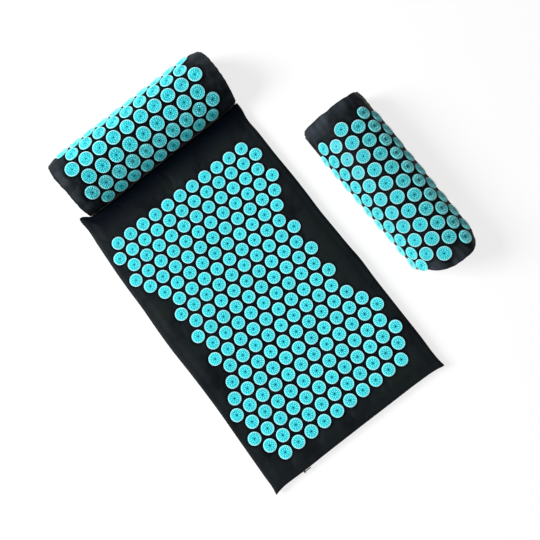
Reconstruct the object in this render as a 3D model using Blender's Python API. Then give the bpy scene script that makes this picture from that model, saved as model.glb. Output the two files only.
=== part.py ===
"""Acupressure mat with two half-round neck pillows.

The mat lies on the floor, centred on the origin, with its head end towards +Y. One pillow stands at the
head end, the other lies by itself beside the mat. Each cover is cotton cloth over a foam core and carries
moulded spike discs, bonded to the cloth in a staggered lattice. A zip in the foot end of the mat and in
the rear wall of each pillow lets the foam out. All lengths are in metres.
"""
import math

import bmesh
import bpy
from mathutils import Matrix, Vector
from mathutils.geometry import delaunay_2d_cdt

# Cloth and fits
CLOTH = 0.0012
FIT_GAP = 0.0003
OVERRUN = 0.010
WELD_DISTANCE = 0.00003

# Mat: sizes from corner to corner, and how far the edges draw in between the corners
MAT_LENGTH = 0.694
MAT_WIDTH = 0.426
MAT_THICKNESS = 0.020
MAT_CROWN = 0.0015
MAT_SHOULDER = 0.010
MAT_SIDE_DRAW = 0.0015
MAT_END_DRAW = 0.002

# Disc lattices: distance between columns and rows, and the cloth left between two discs
MAT_COLUMN_PITCH = 0.033
MAT_ROW_PITCH = 0.029
MAT_FIELD_SHIFT = -0.015
PILLOW_COLUMN_PITCH = 0.035
PILLOW_ROW_PITCH = 0.031
DISC_SPACING = 0.0048
FIELD_MARGIN = 0.002

# Spike disc: heights above the cloth
SPIKE_TIP = 0.0060
SPIKE_VALLEY = 0.0022
DISC_FLOOR = 0.0016

# Pillow: a round section whose centre lies above the flat base
PILLOW_LENGTH = 0.386
PILLOW_RADIUS = 0.070
PILLOW_CENTRE_HEIGHT = 0.020
PILLOW_END_DRAW = 0.0025
PILLOW_DRAW_WIDTH = 0.015
PILLOW_END_DOME = 0.007
PILLOW_BASE_CORNER = 0.005

# Where the pillows stand: distance from the mat's edge to a pillow's flank, and shift along that edge
HEAD_PILLOW_CLEARANCE = 0.002
HEAD_PILLOW_SHIFT = 0.0194
SIDE_PILLOW_CLEARANCE = 0.077
SIDE_PILLOW_SHIFT = -0.0027

# Zip
MAT_ZIP_LENGTH = 0.300
PILLOW_ZIP_LENGTH = 0.280
PILLOW_ZIP_HEIGHT = 0.0095
ZIP_WINDOW = 0.009
WINDOW_END = 0.001
TAPE_THICKNESS = 0.0006
TAPE_OVERLAP = 0.0009
TAPE_END = 0.004
TEETH_SPLIT = 0.0014
TEETH_WIDTH = 0.0016
TEETH_THICKNESS = 0.0018
STOP_LENGTH = 0.0025
SLIDER_LENGTH = 0.009
SLIDER_CLEARANCE = 0.0011
SLIDER_PLATE = 0.0009
SLIDER_RUN_GAP = 0.0004
SLIDER_WEDGE = 0.0007
STAPLE_BAR = 0.0012
STAPLE_INSIDE = 0.0030
STAPLE_RISE = 0.0020
EYE_BORE_RADIUS = 0.0012
EYE_WALL = 0.0009
EYE_HEIGHT = 0.0022
PULL_LENGTH = 0.015
PULL_WIDTH = 0.0044
PULL_THICKNESS = 0.0010
PULL_ROUND = 0.0010

# Counts, angles and shares
MAT_ROW_COUNTS = (11, 12, 11, 12, 11, 10, 9, 10, 9, 10, 9, 10, 9, 10, 11, 12, 11, 12, 11, 10)
PILLOW_ROW_COUNTS = (9, 10, 9, 10, 9, 10, 9)
DISC_SIDES = 6
DISC_FOOT_SHARE = 0.92
DISC_TIP_SHARE = 0.97
EAR_EXPONENT = 8
SIDE_STEPS = 8
END_STEPS = 6
SHOULDER_STEPS = 3
SPOT_COLUMNS = 3
SPOT_ROWS = 5
ARC_STEPS = 24
DOME_RING_SHARES = (1.0, 0.8, 0.5)
DOME_CENTRE_SHARE = 0.45
EYE_STEPS = 12
ROUND_STEPS = 3
ROUND_PROFILE = 0.5
SMOOTH_ANGLE = math.radians(35)
HEAD_PILLOW_TURN = math.radians(0.58)
SIDE_PILLOW_TURN = math.radians(-90.47)

# Colours are linear RGB
BLACK_COTTON = ("black_cotton", (0.016, 0.017, 0.020), 0.92, 0.0)
TEAL_PLASTIC = ("teal_plastic", (0.045, 0.700, 0.715), 0.38, 0.0)
WHITE_FOAM = ("white_foam", (0.780, 0.770, 0.720), 0.95, 0.0)
BLACK_TAPE = ("black_zip_tape", (0.020, 0.020, 0.022), 0.85, 0.0)
BLACK_NYLON = ("black_nylon", (0.022, 0.022, 0.024), 0.45, 0.0)
GREY_METAL = ("grey_metal", (0.180, 0.185, 0.190), 0.35, 1.0)


def start_scene():
    """Empty the scene and make the two collections: the object's pieces and its cutters."""
    for item in list(bpy.data.objects):
        bpy.data.objects.remove(item, do_unlink=True)
    collections = []
    for name in ("acupressure_mat", "cutters"):
        collection = bpy.data.collections.new(name)
        bpy.context.scene.collection.children.link(collection)
        collections.append(collection)
    return collections


PIECES, CUTTERS = start_scene()


def material(finish):
    """Return the Principled material of a finish, made on first use."""
    name, colour, roughness, metallic = finish
    if name in bpy.data.materials:
        return bpy.data.materials[name]
    made = bpy.data.materials.new(name)
    made.use_nodes = True
    shader = made.node_tree.nodes["Principled BSDF"]
    shader.inputs["Base Color"].default_value = (*colour, 1.0)
    shader.inputs["Roughness"].default_value = roughness
    shader.inputs["Metallic"].default_value = metallic
    made.diffuse_color = (*colour, 1.0)
    return made


def piece(name, mesh_maker, finishes, parent=None, place=None, smooth=True):
    """Turn a bmesh into a named object of the model, with its materials, parent and local placement."""
    mesh = bpy.data.meshes.new(name)
    bmesh.ops.recalc_face_normals(mesh_maker, faces=mesh_maker.faces)
    mesh_maker.to_mesh(mesh)
    mesh_maker.free()
    for finish in finishes:
        mesh.materials.append(material(finish))
    if smooth:
        mesh.shade_smooth()
        mesh.set_sharp_from_angle(angle=SMOOTH_ANGLE)
    made = bpy.data.objects.new(name, mesh)
    PIECES.objects.link(made)
    made.parent = parent
    made.matrix_local = place or Matrix.Identity(4)
    return made


def cutter(name, mesh_maker, parent):
    """Turn a bmesh into a hidden tool object for Boolean modifiers."""
    tool = piece(name, mesh_maker, (), parent)
    PIECES.objects.unlink(tool)
    CUTTERS.objects.link(tool)
    tool.hide_render = True
    tool.display_type = "WIRE"
    return tool


def boolean(target, tool, operation):
    """Cut a tool from an object, or join the tool to it."""
    modifier = target.modifiers.new(tool.name, "BOOLEAN")
    modifier.operation = operation
    modifier.solver = "EXACT"
    modifier.object = tool


def empty(name, place, parent=None):
    """Add an empty that carries the pieces of one sub-assembly."""
    made = bpy.data.objects.new(name, None)
    PIECES.objects.link(made)
    made.parent = parent
    made.matrix_local = place
    return made


def block(low, high):
    """Return a box between two corners."""
    made = bmesh.new()
    bmesh.ops.create_cube(made, size=1.0)
    low, high = Vector(low), Vector(high)
    bmesh.ops.scale(made, verts=made.verts, vec=high - low)
    bmesh.ops.translate(made, verts=made.verts, vec=(low + high) / 2)
    return made


def edges_along(made, axis):
    """Return a block's four edges that run along X, Y or Z: axis 0, 1 or 2."""
    return [edge for edge in made.edges if edge.verts[0].co[axis] != edge.verts[1].co[axis]]


def extruded_along_x(outline, length):
    """Extrude an outline given in Y and Z along X, centred on X = 0."""
    made = bmesh.new()
    corners = [made.verts.new((-length / 2, y, z)) for y, z in outline]
    face = made.faces.new(corners)
    grown = bmesh.ops.extrude_face_region(made, geom=[face])
    moved = [item for item in grown["geom"] if isinstance(item, bmesh.types.BMVert)]
    bmesh.ops.translate(made, verts=moved, vec=(length, 0, 0))
    return made


def turned_ring(bore_radius, wall, height, steps):
    """Turn a rectangle round the Z axis into a ring with a bore."""
    made = bmesh.new()
    profile = ((bore_radius, -height / 2), (bore_radius + wall, -height / 2),
               (bore_radius + wall, height / 2), (bore_radius, height / 2))
    corners = [made.verts.new((x, 0, z)) for x, z in profile]
    edges = [made.edges.new((corners[i - 1], corners[i])) for i in range(len(corners))]
    bmesh.ops.spin(made, geom=corners + edges, axis=(0, 0, 1), cent=(0, 0, 0), steps=steps,
                   angle=2 * math.pi, use_merge=True)
    bmesh.ops.remove_doubles(made, verts=made.verts, dist=WELD_DISTANCE)
    return made


class Sheet:
    """A surface in the making: its points, its faces, and which faces are moulded plastic."""

    def __init__(self):
        self.points = []
        self.faces = []
        self.plastic = set()

    def ring(self, points):
        """Add points and return their numbers."""
        start = len(self.points)
        self.points.extend(Vector(point) for point in points)
        return list(range(start, len(self.points)))

    def bridge(self, first, second, closed=True):
        """Join two rows of points of equal count by quads."""
        for i in range(0 if closed else 1, len(first)):
            self.faces.append((first[i - 1], first[i], second[i], second[i - 1]))

    def fan(self, loop, centre):
        """Join a closed loop to one point."""
        for i in range(len(loop)):
            self.faces.append((loop[i - 1], loop[i], centre))

    def fill(self, loop, outline, surface, discs=(), radius=0.0, spots=()):
        """Fill a closed loop with cloth, leaving a round place for each disc, and stand the discs there.

        The outline, the disc centres and the spots are flat positions. The surface turns a flat position
        into a frame in space whose Z is the cloth's outward direction.
        """
        numbers = list(loop)
        flat = [Vector(point) for point in outline]
        edges = [(i - 1 if i else len(loop) - 1, i) for i in range(len(loop))]
        owner = [None] * len(loop)
        turns = [Matrix.Rotation(math.tau * (i + 0.5) / DISC_SIDES, 2) for i in range(DISC_SIDES)]
        foot = [turn @ Vector((radius * DISC_FOOT_SHARE, 0)) for turn in turns]
        for number, centre in enumerate(discs):
            start = len(flat)
            flat.extend(Vector(centre) + point for point in foot)
            edges.extend((start + (i - 1) % DISC_SIDES, start + i) for i in range(DISC_SIDES))
            owner.extend([number] * DISC_SIDES)
            frame = surface(*centre)
            ring = self.ring(frame @ point.to_3d() for point in foot)
            numbers.extend(ring)
            self.crown(ring, frame, radius)
        for spot in spots:
            flat.append(Vector(spot))
            owner.append(None)
            numbers.extend(self.ring([surface(*spot).translation]))
        triangles, origins = delaunay_2d_cdt(flat, edges, [], 1, WELD_DISTANCE)[2:4]
        for triangle in triangles:
            corners = [origins[i][0] for i in triangle]
            owners = {owner[i] for i in corners}
            if len(owners) == 1 and None not in owners:
                continue
            self.faces.append(tuple(numbers[i] for i in corners))

    def crown(self, foot, frame, radius):
        """Stand one spike disc on its foot ring: a zigzag rim of spike tips round a dished floor."""
        rim = []
        for i in range(2 * DISC_SIDES):
            is_tip = i % 2 == 0
            reach = radius * DISC_TIP_SHARE if is_tip else radius
            height = SPIKE_TIP if is_tip else SPIKE_VALLEY
            turn = Matrix.Rotation(math.tau * (i + 1) / (2 * DISC_SIDES), 3, "Z")
            rim.append(frame @ (turn @ Vector((reach, 0, height))))
        rim = self.ring(rim)
        centre = self.ring([frame @ Vector((0, 0, DISC_FLOOR))])[0]
        start = len(self.faces)
        for i in range(DISC_SIDES):
            near, far = foot[i], foot[(i + 1) % DISC_SIDES]
            tip, valley, next_tip = rim[2 * i], rim[2 * i + 1], rim[(2 * i + 2) % len(rim)]
            self.faces.append((near, valley, tip))
            self.faces.append((near, far, valley))
            self.faces.append((far, next_tip, valley))
        self.fan(rim, centre)
        self.plastic.update(range(start, len(self.faces)))

    def solid(self):
        """Return the finished bmesh, with plastic faces in the second material slot."""
        made = bmesh.new()
        corners = [made.verts.new(point) for point in self.points]
        for number, face in enumerate(self.faces):
            grown = made.faces.new([corners[i] for i in face])
            grown.material_index = 1 if number in self.plastic else 0
        return made


def lattice(row_counts, column_pitch, row_pitch, fits):
    """Return the disc centres of staggered rows about the origin, leaving off those that do not fit.

    The first row lies farthest towards +Y, which is a mat's head end or a pillow's rear.
    """
    centres = []
    for row, count in enumerate(row_counts):
        across = ((len(row_counts) - 1) / 2 - row) * row_pitch
        for column in range(count):
            along = (column - (count - 1) / 2) * column_pitch
            if fits(along, across):
                centres.append((along, across))
    return centres


def disc_radius(column_pitch, row_pitch):
    """The disc fills the smaller distance to a neighbour, less the cloth between them."""
    slant = math.hypot(column_pitch / 2, row_pitch)
    return (min(column_pitch, slant) - DISC_SPACING) / 2


def eased(steps):
    """Positions from -1 to 1 that lie closer together near the ends."""
    return [math.sin(math.pi * (i / steps - 0.5)) for i in range(steps + 1)]


def mat_outline(inset):
    """Corners and edge points of the mat's outline, drawn in by an inset, counter-clockwise."""
    half_width = MAT_WIDTH / 2 - inset
    half_length = MAT_LENGTH / 2 - inset
    half = []
    for t in eased(SIDE_STEPS)[:-1]:
        half.append((half_width - MAT_SIDE_DRAW * (1 - t ** EAR_EXPONENT), half_length * t))
    for t in eased(END_STEPS)[:-1]:
        half.append((-half_width * t, half_length - MAT_END_DRAW * (1 - t ** EAR_EXPONENT)))
    return half + [(-x, -y) for x, y in half]


def mat_rim_rings(sheet, inset, upward, seam_gap):
    """Rings of the rounded rim from the side seam to the flat, at an inset inside the cloth's outer face."""
    middle = MAT_THICKNESS / 2
    rings = []
    for step in range(SHOULDER_STEPS + 1):
        angle = math.pi / 2 * step / SHOULDER_STEPS
        outline = mat_outline(MAT_SHOULDER - (MAT_SHOULDER - inset) * math.cos(angle))
        rise = seam_gap / 2 + (middle - inset - seam_gap / 2) * math.sin(angle)
        height = middle + rise if upward else middle - rise
        rings.append(sheet.ring((x, y, height) for x, y in outline))
    for first, second in zip(rings, rings[1:]):
        sheet.bridge(first, second)
    return rings


def mat_surface(inset):
    """The mat's crowned top, at an inset below the cloth's outer face."""
    half_width = MAT_WIDTH / 2 - MAT_SHOULDER - MAT_SIDE_DRAW
    half_length = MAT_LENGTH / 2 - MAT_SHOULDER - MAT_END_DRAW

    def surface(x, y):
        crown = (1 - (x / half_width) ** 2) * (1 - (y / half_length) ** 2)
        return Matrix.Translation((x, y, MAT_THICKNESS - inset + MAT_CROWN * max(crown, 0)))

    return surface


def mat_spots():
    """A sparse grid of points that carries the crown of a plain sheet."""
    spots = []
    for column in range(1, SPOT_COLUMNS + 1):
        x = MAT_WIDTH * (column / (SPOT_COLUMNS + 1) - 0.5)
        for row in range(1, SPOT_ROWS + 1):
            spots.append((x, MAT_LENGTH * (row / (SPOT_ROWS + 1) - 0.5)))
    return spots


def mat_discs():
    """Disc centres on the mat, and the disc radius."""
    radius = disc_radius(MAT_COLUMN_PITCH, MAT_ROW_PITCH)
    reach = radius + FIELD_MARGIN + MAT_SHOULDER
    half_width = MAT_WIDTH / 2 - MAT_SIDE_DRAW - reach
    half_length = MAT_LENGTH / 2 - MAT_END_DRAW - reach

    def fits(x, y):
        return abs(x) <= half_width and abs(y + MAT_FIELD_SHIFT) <= half_length

    centres = lattice(MAT_ROW_COUNTS, MAT_COLUMN_PITCH, MAT_ROW_PITCH, fits)
    return [(x, y + MAT_FIELD_SHIFT) for x, y in centres], radius


def mat_top_panel():
    """Top cloth with its rounded rim, its lattice of spike discs, and the cloth's inner face."""
    sheet = Sheet()
    discs, radius = mat_discs()
    outside = mat_rim_rings(sheet, 0, True, FIT_GAP)
    sheet.fill(outside[-1], mat_outline(MAT_SHOULDER), mat_surface(0), discs, radius)
    inside = mat_rim_rings(sheet, CLOTH, True, FIT_GAP)
    sheet.fill(inside[-1], mat_outline(MAT_SHOULDER), mat_surface(CLOTH), spots=mat_spots())
    sheet.bridge(outside[0], inside[0])
    return piece("mat_top_panel", sheet.solid(), (BLACK_COTTON, TEAL_PLASTIC))


def mat_bottom_panel():
    """Bottom cloth: flat on the floor, with a rounded rim up to the side seam."""
    sheet = Sheet()
    loops = []
    for inset in (0, CLOTH):
        rings = mat_rim_rings(sheet, inset, False, FIT_GAP)
        sheet.fill(rings[-1], mat_outline(MAT_SHOULDER), lambda x, y: Matrix.Translation((x, y, 0)))
        loops.append(rings[0])
    sheet.bridge(*loops)
    return piece("mat_bottom_panel", sheet.solid(), (BLACK_COTTON,))


def mat_foam_core():
    """Foam slab that fills the cover."""
    sheet = Sheet()
    inset = CLOTH + FIT_GAP
    upper = mat_rim_rings(sheet, inset, True, FIT_GAP)
    lower = mat_rim_rings(sheet, inset, False, FIT_GAP)
    sheet.fill(upper[-1], mat_outline(MAT_SHOULDER), mat_surface(inset), spots=mat_spots())
    sheet.fill(lower[-1], mat_outline(MAT_SHOULDER), lambda x, y: Matrix.Translation((x, y, 0)))
    sheet.bridge(upper[0], lower[0])
    return piece("mat_foam_core", sheet.solid(), (WHITE_FOAM,))


def base_angle(radius, height):
    """Angle from the crest at which the pillow's round section comes down to a height."""
    return math.acos((height - PILLOW_CENTRE_HEIGHT) / radius)


def end_draw(along):
    """How far the pillow's section draws in near its ends."""
    into = abs(along) - (PILLOW_LENGTH / 2 - PILLOW_DRAW_WIDTH)
    return PILLOW_END_DRAW * max(into, 0) / PILLOW_DRAW_WIDTH


def pillow_surface(radius):
    """The rolled cloth: a flat position is a length along the axis and an arc along the section."""

    def surface(along, arc):
        angle = arc / PILLOW_RADIUS
        reach = radius - end_draw(along)
        turn = Matrix.Rotation(-angle, 4, "X")
        return Matrix.Translation((along, 0, PILLOW_CENTRE_HEIGHT)) @ turn @ Matrix.Translation((0, 0, reach))

    return surface


def pillow_columns():
    """Stations along the pillow where its section changes."""
    half = PILLOW_LENGTH / 2
    return [-half, PILLOW_DRAW_WIDTH - half, half - PILLOW_DRAW_WIDTH, half]


def pillow_discs():
    """Disc centres on the unrolled pillow cloth, and the disc radius."""
    radius = disc_radius(PILLOW_COLUMN_PITCH, PILLOW_ROW_PITCH)
    reach = radius + FIELD_MARGIN
    half_length = PILLOW_LENGTH / 2 - reach
    half_arc = PILLOW_RADIUS * base_angle(PILLOW_RADIUS, CLOTH + FIT_GAP) - reach

    def fits(along, arc):
        return abs(along) <= half_length and abs(arc) <= half_arc

    return lattice(PILLOW_ROW_COUNTS, PILLOW_COLUMN_PITCH, PILLOW_ROW_PITCH, fits), radius


def pillow_cover(name, parent):
    """Curved cloth from the front base edge over the crest to the rear base edge, with its discs."""
    sheet = Sheet()
    discs, radius = pillow_discs()
    half_arc = PILLOW_RADIUS * base_angle(PILLOW_RADIUS, CLOTH + FIT_GAP)
    arcs = [half_arc * (2 * i / ARC_STEPS - 1) for i in range(ARC_STEPS + 1)]
    columns = pillow_columns()
    outline = [(along, arcs[0]) for along in columns[:-1]] + [(columns[-1], arc) for arc in arcs[:-1]]
    outline += [(-along, -arc) for along, arc in outline]
    outside = pillow_surface(PILLOW_RADIUS)
    inside = pillow_surface(PILLOW_RADIUS - CLOTH)
    loop = sheet.ring(outside(*point).translation for point in outline)
    lowest = max(abs(arc) for _, arc in discs) + radius if discs else 0
    spots = [(along, arc) for along in columns[1:-1] for arc in arcs if lowest < abs(arc) < half_arc]
    sheet.fill(loop, outline, outside, discs, radius, spots)
    rows = [sheet.ring(inside(along, arc).translation for arc in arcs) for along in columns]
    for first, second in zip(rows, rows[1:]):
        sheet.bridge(first, second, closed=False)
    inner = [row[0] for row in rows[:-1]] + rows[-1][:-1] + [row[-1] for row in reversed(rows[1:])]
    inner += list(reversed(rows[0][1:]))
    sheet.bridge(loop, inner)
    return piece(name, sheet.solid(), (BLACK_COTTON, TEAL_PLASTIC), parent)


def pillow_section(radius, floor_height):
    """The D-shaped section: round top and straight base, as points in Y and Z."""
    half = base_angle(radius, floor_height)
    angles = [half * (2 * i / ARC_STEPS - 1) for i in range(ARC_STEPS + 1)]
    return [(radius * math.sin(a), PILLOW_CENTRE_HEIGHT + radius * math.cos(a)) for a in angles]


def dome(sheet, section, plane, rise):
    """Rings that shrink towards the section's middle and bulge along X. Returns the outermost ring."""
    middle = (PILLOW_CENTRE_HEIGHT + PILLOW_RADIUS) * DOME_CENTRE_SHARE
    rings = []
    for share in DOME_RING_SHARES:
        at = plane + rise * (1 - share ** 2)
        rings.append(sheet.ring((at, y * share, middle + (z - middle) * share) for y, z in section))
    for first, second in zip(rings, rings[1:]):
        sheet.bridge(first, second)
    sheet.fan(rings[-1], sheet.ring([(plane + rise, 0, middle)])[0])
    return rings[0]


def pillow_end(name, parent, side):
    """Domed end panel, sewn to the cover's end edge; side is 1 or -1 along X."""
    sheet = Sheet()
    section = pillow_section(PILLOW_RADIUS - PILLOW_END_DRAW, CLOTH + FIT_GAP)
    plane = side * (PILLOW_LENGTH / 2 + FIT_GAP)
    inner = dome(sheet, section, plane, side * PILLOW_END_DOME)
    outer = dome(sheet, section, plane + side * CLOTH, side * PILLOW_END_DOME)
    sheet.bridge(inner, outer)
    return piece(name, sheet.solid(), (BLACK_COTTON,), parent)


def pillow_foam(name, parent):
    """Half-round foam core with domed ends."""
    sheet = Sheet()
    inset = CLOTH + FIT_GAP
    columns = pillow_columns()
    sections = [pillow_section(PILLOW_RADIUS - inset - end_draw(along), inset) for along in columns]
    plane = columns[-1] - 2 * FIT_GAP
    loops = [dome(sheet, sections[0], -plane, -PILLOW_END_DOME)]
    for along, section in zip(columns[1:-1], sections[1:-1]):
        loops.append(sheet.ring((along, y, z) for y, z in section))
    loops.append(dome(sheet, sections[-1], plane, PILLOW_END_DOME))
    for first, second in zip(loops, loops[1:]):
        sheet.bridge(first, second)
    return piece(name, sheet.solid(), (WHITE_FOAM,), parent)


def pillow_base(name, parent):
    """Flat base cloth with rounded corners."""
    half_width = math.sqrt(PILLOW_RADIUS ** 2 - PILLOW_CENTRE_HEIGHT ** 2)
    half_length = PILLOW_LENGTH / 2
    plate = block((-half_length, -half_width, 0), (half_length, half_width, CLOTH))
    bmesh.ops.bevel(plate, geom=edges_along(plate, 2), offset=PILLOW_BASE_CORNER, segments=ROUND_STEPS,
                   affect="EDGES", profile=ROUND_PROFILE)
    return piece(name, plate, (BLACK_COTTON,), parent)


def tape_reach():
    """Half the height of the zip's tapes: the window and the strip sewn behind its edge."""
    return ZIP_WINDOW / 2 + TAPE_OVERLAP


def slider_plates():
    """Positions of the slider's plates across the zip: back and front face of each."""
    teeth_front = (TEETH_THICKNESS - TAPE_THICKNESS) / 2
    teeth_back = teeth_front - TEETH_THICKNESS
    front = teeth_front + SLIDER_RUN_GAP
    back = teeth_back - SLIDER_RUN_GAP
    return back - SLIDER_PLATE, back, front, front + SLIDER_PLATE


def zip_slider(name, frame, rest):
    """Slider body: front and back plate joined by a wedge between the teeth, and a staple for the pull."""
    lowest, back, front, highest = slider_plates()
    half = ZIP_WINDOW / 2 - SLIDER_CLEARANCE
    wedge = SLIDER_WEDGE / 2
    lower = [(lowest, -half), (back, -half), (back, -wedge),
             (front, -wedge), (front, -half), (highest, -half)]
    outline = lower + [(y, -z) for y, z in reversed(lower)]
    body = piece(name, extruded_along_x(outline, SLIDER_LENGTH), (GREY_METAL,), rest, smooth=False)
    inside = STAPLE_INSIDE / 2
    outside = inside + STAPLE_BAR
    top = highest + STAPLE_RISE
    root = highest - SLIDER_PLATE / 2
    staple = [(root, -outside), (top + STAPLE_BAR, -outside), (top + STAPLE_BAR, outside), (root, outside),
              (root, inside), (top, inside), (top, -inside), (root, -inside)]
    boolean(body, cutter(name + "_staple", extruded_along_x(staple, STAPLE_BAR), rest), "UNION")
    return body


def zip_pull(name, hinge):
    """Pull tab: a blade with an eye round the staple's bar. Its origin is the hinge axis."""
    start = -(EYE_BORE_RADIUS + EYE_WALL / 2)
    blade = block((-PULL_LENGTH, -PULL_THICKNESS / 2, -PULL_WIDTH / 2),
                  (start, PULL_THICKNESS / 2, PULL_WIDTH / 2))
    far = [edge for edge in edges_along(blade, 1) if edge.verts[0].co.x < -PULL_LENGTH / 2]
    bmesh.ops.bevel(blade, geom=far, offset=PULL_ROUND, segments=ROUND_STEPS,
                   affect="EDGES", profile=ROUND_PROFILE)
    tab = piece(name, blade, (GREY_METAL,), hinge, smooth=False)
    eye = turned_ring(EYE_BORE_RADIUS, EYE_WALL, EYE_HEIGHT, EYE_STEPS)
    boolean(tab, cutter(name + "_eye", eye, hinge), "UNION")
    return tab


def zip_closure(name, frame, length):
    """Tapes, teeth, stops, slider and pull. The frame's X runs along the zip and its Y points outwards.

    Y = 0 is the outer face of the tapes, which lie behind the window's edges.
    """
    half = length / 2
    teeth_half = half - STOP_LENGTH - FIT_GAP
    teeth_front = (TEETH_THICKNESS - TAPE_THICKNESS) / 2
    teeth_back = teeth_front - TEETH_THICKNESS
    teeth_top = TEETH_SPLIT / 2 + TEETH_WIDTH
    for label, side in (("upper", 1), ("lower", -1)):
        tape = sorted((side * (teeth_top + FIT_GAP), side * tape_reach()))
        ends = half + TAPE_END
        piece(f"{name}_zip_{label}_tape", block((-ends, -TAPE_THICKNESS, tape[0]), (ends, 0, tape[1])),
              (BLACK_TAPE,), frame, smooth=False)
        teeth = sorted((side * TEETH_SPLIT / 2, side * teeth_top))
        piece(f"{name}_zip_{label}_teeth",
              block((-teeth_half, teeth_back, teeth[0]), (teeth_half, teeth_front, teeth[1])),
              (BLACK_NYLON,), frame, smooth=False)
    for label, side in (("closed", 1), ("open", -1)):
        ends = sorted((side * (half - STOP_LENGTH), side * half))
        piece(f"{name}_zip_{label}_stop",
              block((ends[0], teeth_back, -teeth_top), (ends[1], teeth_front, teeth_top)),
              (BLACK_NYLON,), frame, smooth=False)
    rest_at = teeth_half - SLIDER_LENGTH / 2
    rest = empty(f"{name}_zip_slider_rest", Matrix.Translation((rest_at, 0, 0)), frame)
    zip_slider(f"{name}_zip_slider", frame, rest)
    pin_at = slider_plates()[-1] + STAPLE_RISE + STAPLE_BAR / 2
    hinge = empty(f"{name}_zip_pull_hinge", Matrix.Translation((0, pin_at, 0)), rest)
    zip_pull(f"{name}_zip_pull", hinge)


def zip_seat(name, frame, length, cloths, foam):
    """Cut the zip's window through the cloth and the groove for its back into the foam."""
    half_window = ZIP_WINDOW / 2
    half = length / 2 + WINDOW_END
    window = block((-half, -TAPE_THICKNESS, -half_window), (half, OVERRUN, half_window))
    tool = cutter(name + "_zip_window", window, frame)
    for cloth in cloths:
        boolean(cloth, tool, "DIFFERENCE")
    depth = slider_plates()[0] - SLIDER_RUN_GAP
    reach = tape_reach() + 2 * FIT_GAP
    half = length / 2 + TAPE_END + 2 * FIT_GAP
    groove = block((-half, depth, -reach), (half, OVERRUN, reach))
    boolean(foam, cutter(name + "_zip_groove", groove, frame), "DIFFERENCE")


def build_mat():
    """Cover, foam and foot-end zip of the mat."""
    cloths = (mat_top_panel(), mat_bottom_panel())
    foam = mat_foam_core()
    middle = MAT_THICKNESS / 2
    wall = math.sqrt(1 - (tape_reach() / (middle - CLOTH)) ** 2)
    depth = MAT_SHOULDER - (MAT_SHOULDER - CLOTH) * wall + FIT_GAP
    foot = -(MAT_LENGTH / 2 - MAT_END_DRAW) + depth
    place = Matrix.Translation((0, foot, middle)) @ Matrix.Rotation(math.pi, 4, "Z")
    frame = empty("mat_zip_frame", place)
    zip_seat("mat", frame, MAT_ZIP_LENGTH, cloths, foam)
    zip_closure("mat", frame, MAT_ZIP_LENGTH)


def build_pillow(name, x, y, turn):
    """One pillow: cover, ends, base, foam and rear zip, on an empty at its place on the floor."""
    stand = empty(name + "_stand", Matrix.Translation((x, y, 0)) @ Matrix.Rotation(turn, 4, "Z"))
    cover = pillow_cover(name + "_cover", stand)
    pillow_end(name + "_left_end", stand, -1)
    pillow_end(name + "_right_end", stand, 1)
    pillow_base(name + "_base", stand)
    foam = pillow_foam(name + "_foam_core", stand)
    lean = base_angle(PILLOW_RADIUS, PILLOW_ZIP_HEIGHT) - math.pi / 2
    inner = PILLOW_RADIUS - CLOTH
    depth = inner - math.sqrt(inner ** 2 - tape_reach() ** 2) + FIT_GAP
    place = Matrix.Translation((0, 0, PILLOW_CENTRE_HEIGHT)) @ Matrix.Rotation(-lean, 4, "X")
    frame = empty(name + "_zip_frame", place @ Matrix.Translation((0, inner - depth, 0)), stand)
    zip_seat(name, frame, PILLOW_ZIP_LENGTH, (cover,), foam)
    zip_closure(name, frame, PILLOW_ZIP_LENGTH)


def main():
    """Build the mat and both pillows."""
    build_mat()
    head_y = MAT_LENGTH / 2 + HEAD_PILLOW_CLEARANCE + PILLOW_RADIUS
    side_x = MAT_WIDTH / 2 + SIDE_PILLOW_CLEARANCE + PILLOW_RADIUS
    build_pillow("head_pillow", HEAD_PILLOW_SHIFT, head_y, HEAD_PILLOW_TURN)
    build_pillow("side_pillow", side_x, SIDE_PILLOW_SHIFT, SIDE_PILLOW_TURN)


main()
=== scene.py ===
"""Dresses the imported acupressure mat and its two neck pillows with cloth, spike discs, zips and light."""
import logging
import math
from dataclasses import dataclass, field
from enum import Enum
from typing import Iterable, Sequence

import bmesh
import bpy
import numpy as np
from mathutils import Matrix
from numpy.typing import ArrayLike


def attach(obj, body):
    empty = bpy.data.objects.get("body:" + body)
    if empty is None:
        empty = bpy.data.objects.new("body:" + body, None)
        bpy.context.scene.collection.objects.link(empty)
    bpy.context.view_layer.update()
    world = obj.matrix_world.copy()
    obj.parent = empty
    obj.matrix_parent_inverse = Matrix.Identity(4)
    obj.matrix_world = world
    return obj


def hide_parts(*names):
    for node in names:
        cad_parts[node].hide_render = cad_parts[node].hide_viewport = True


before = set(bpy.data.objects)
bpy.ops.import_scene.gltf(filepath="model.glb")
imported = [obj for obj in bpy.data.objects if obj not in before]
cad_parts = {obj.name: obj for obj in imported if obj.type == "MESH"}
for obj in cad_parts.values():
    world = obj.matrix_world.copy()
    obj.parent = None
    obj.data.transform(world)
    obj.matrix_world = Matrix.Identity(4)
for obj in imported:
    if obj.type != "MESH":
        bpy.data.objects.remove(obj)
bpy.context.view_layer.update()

LOG = logging.getLogger("acupressure_mat")
MM = 0.001
SMOOTH_ANGLE = math.radians(50)
WELD = 0.02 * MM
NO_LENGTH = 1e-12
WAVE_LENGTHS = (0.7, 1.5)


class Side(Enum):
    """The two sides of something that comes in pairs; the value is the sign along its axis."""

    LOW = -1
    HIGH = 1


class Slot(Enum):
    """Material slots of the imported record."""

    COTTON = "black_cotton"
    PLASTIC = "teal_plastic"
    FOAM = "white_foam"
    TAPE = "black_zip_tape"
    NYLON = "black_nylon"
    METAL = "grey_metal"


# Arrays and meshes


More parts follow.
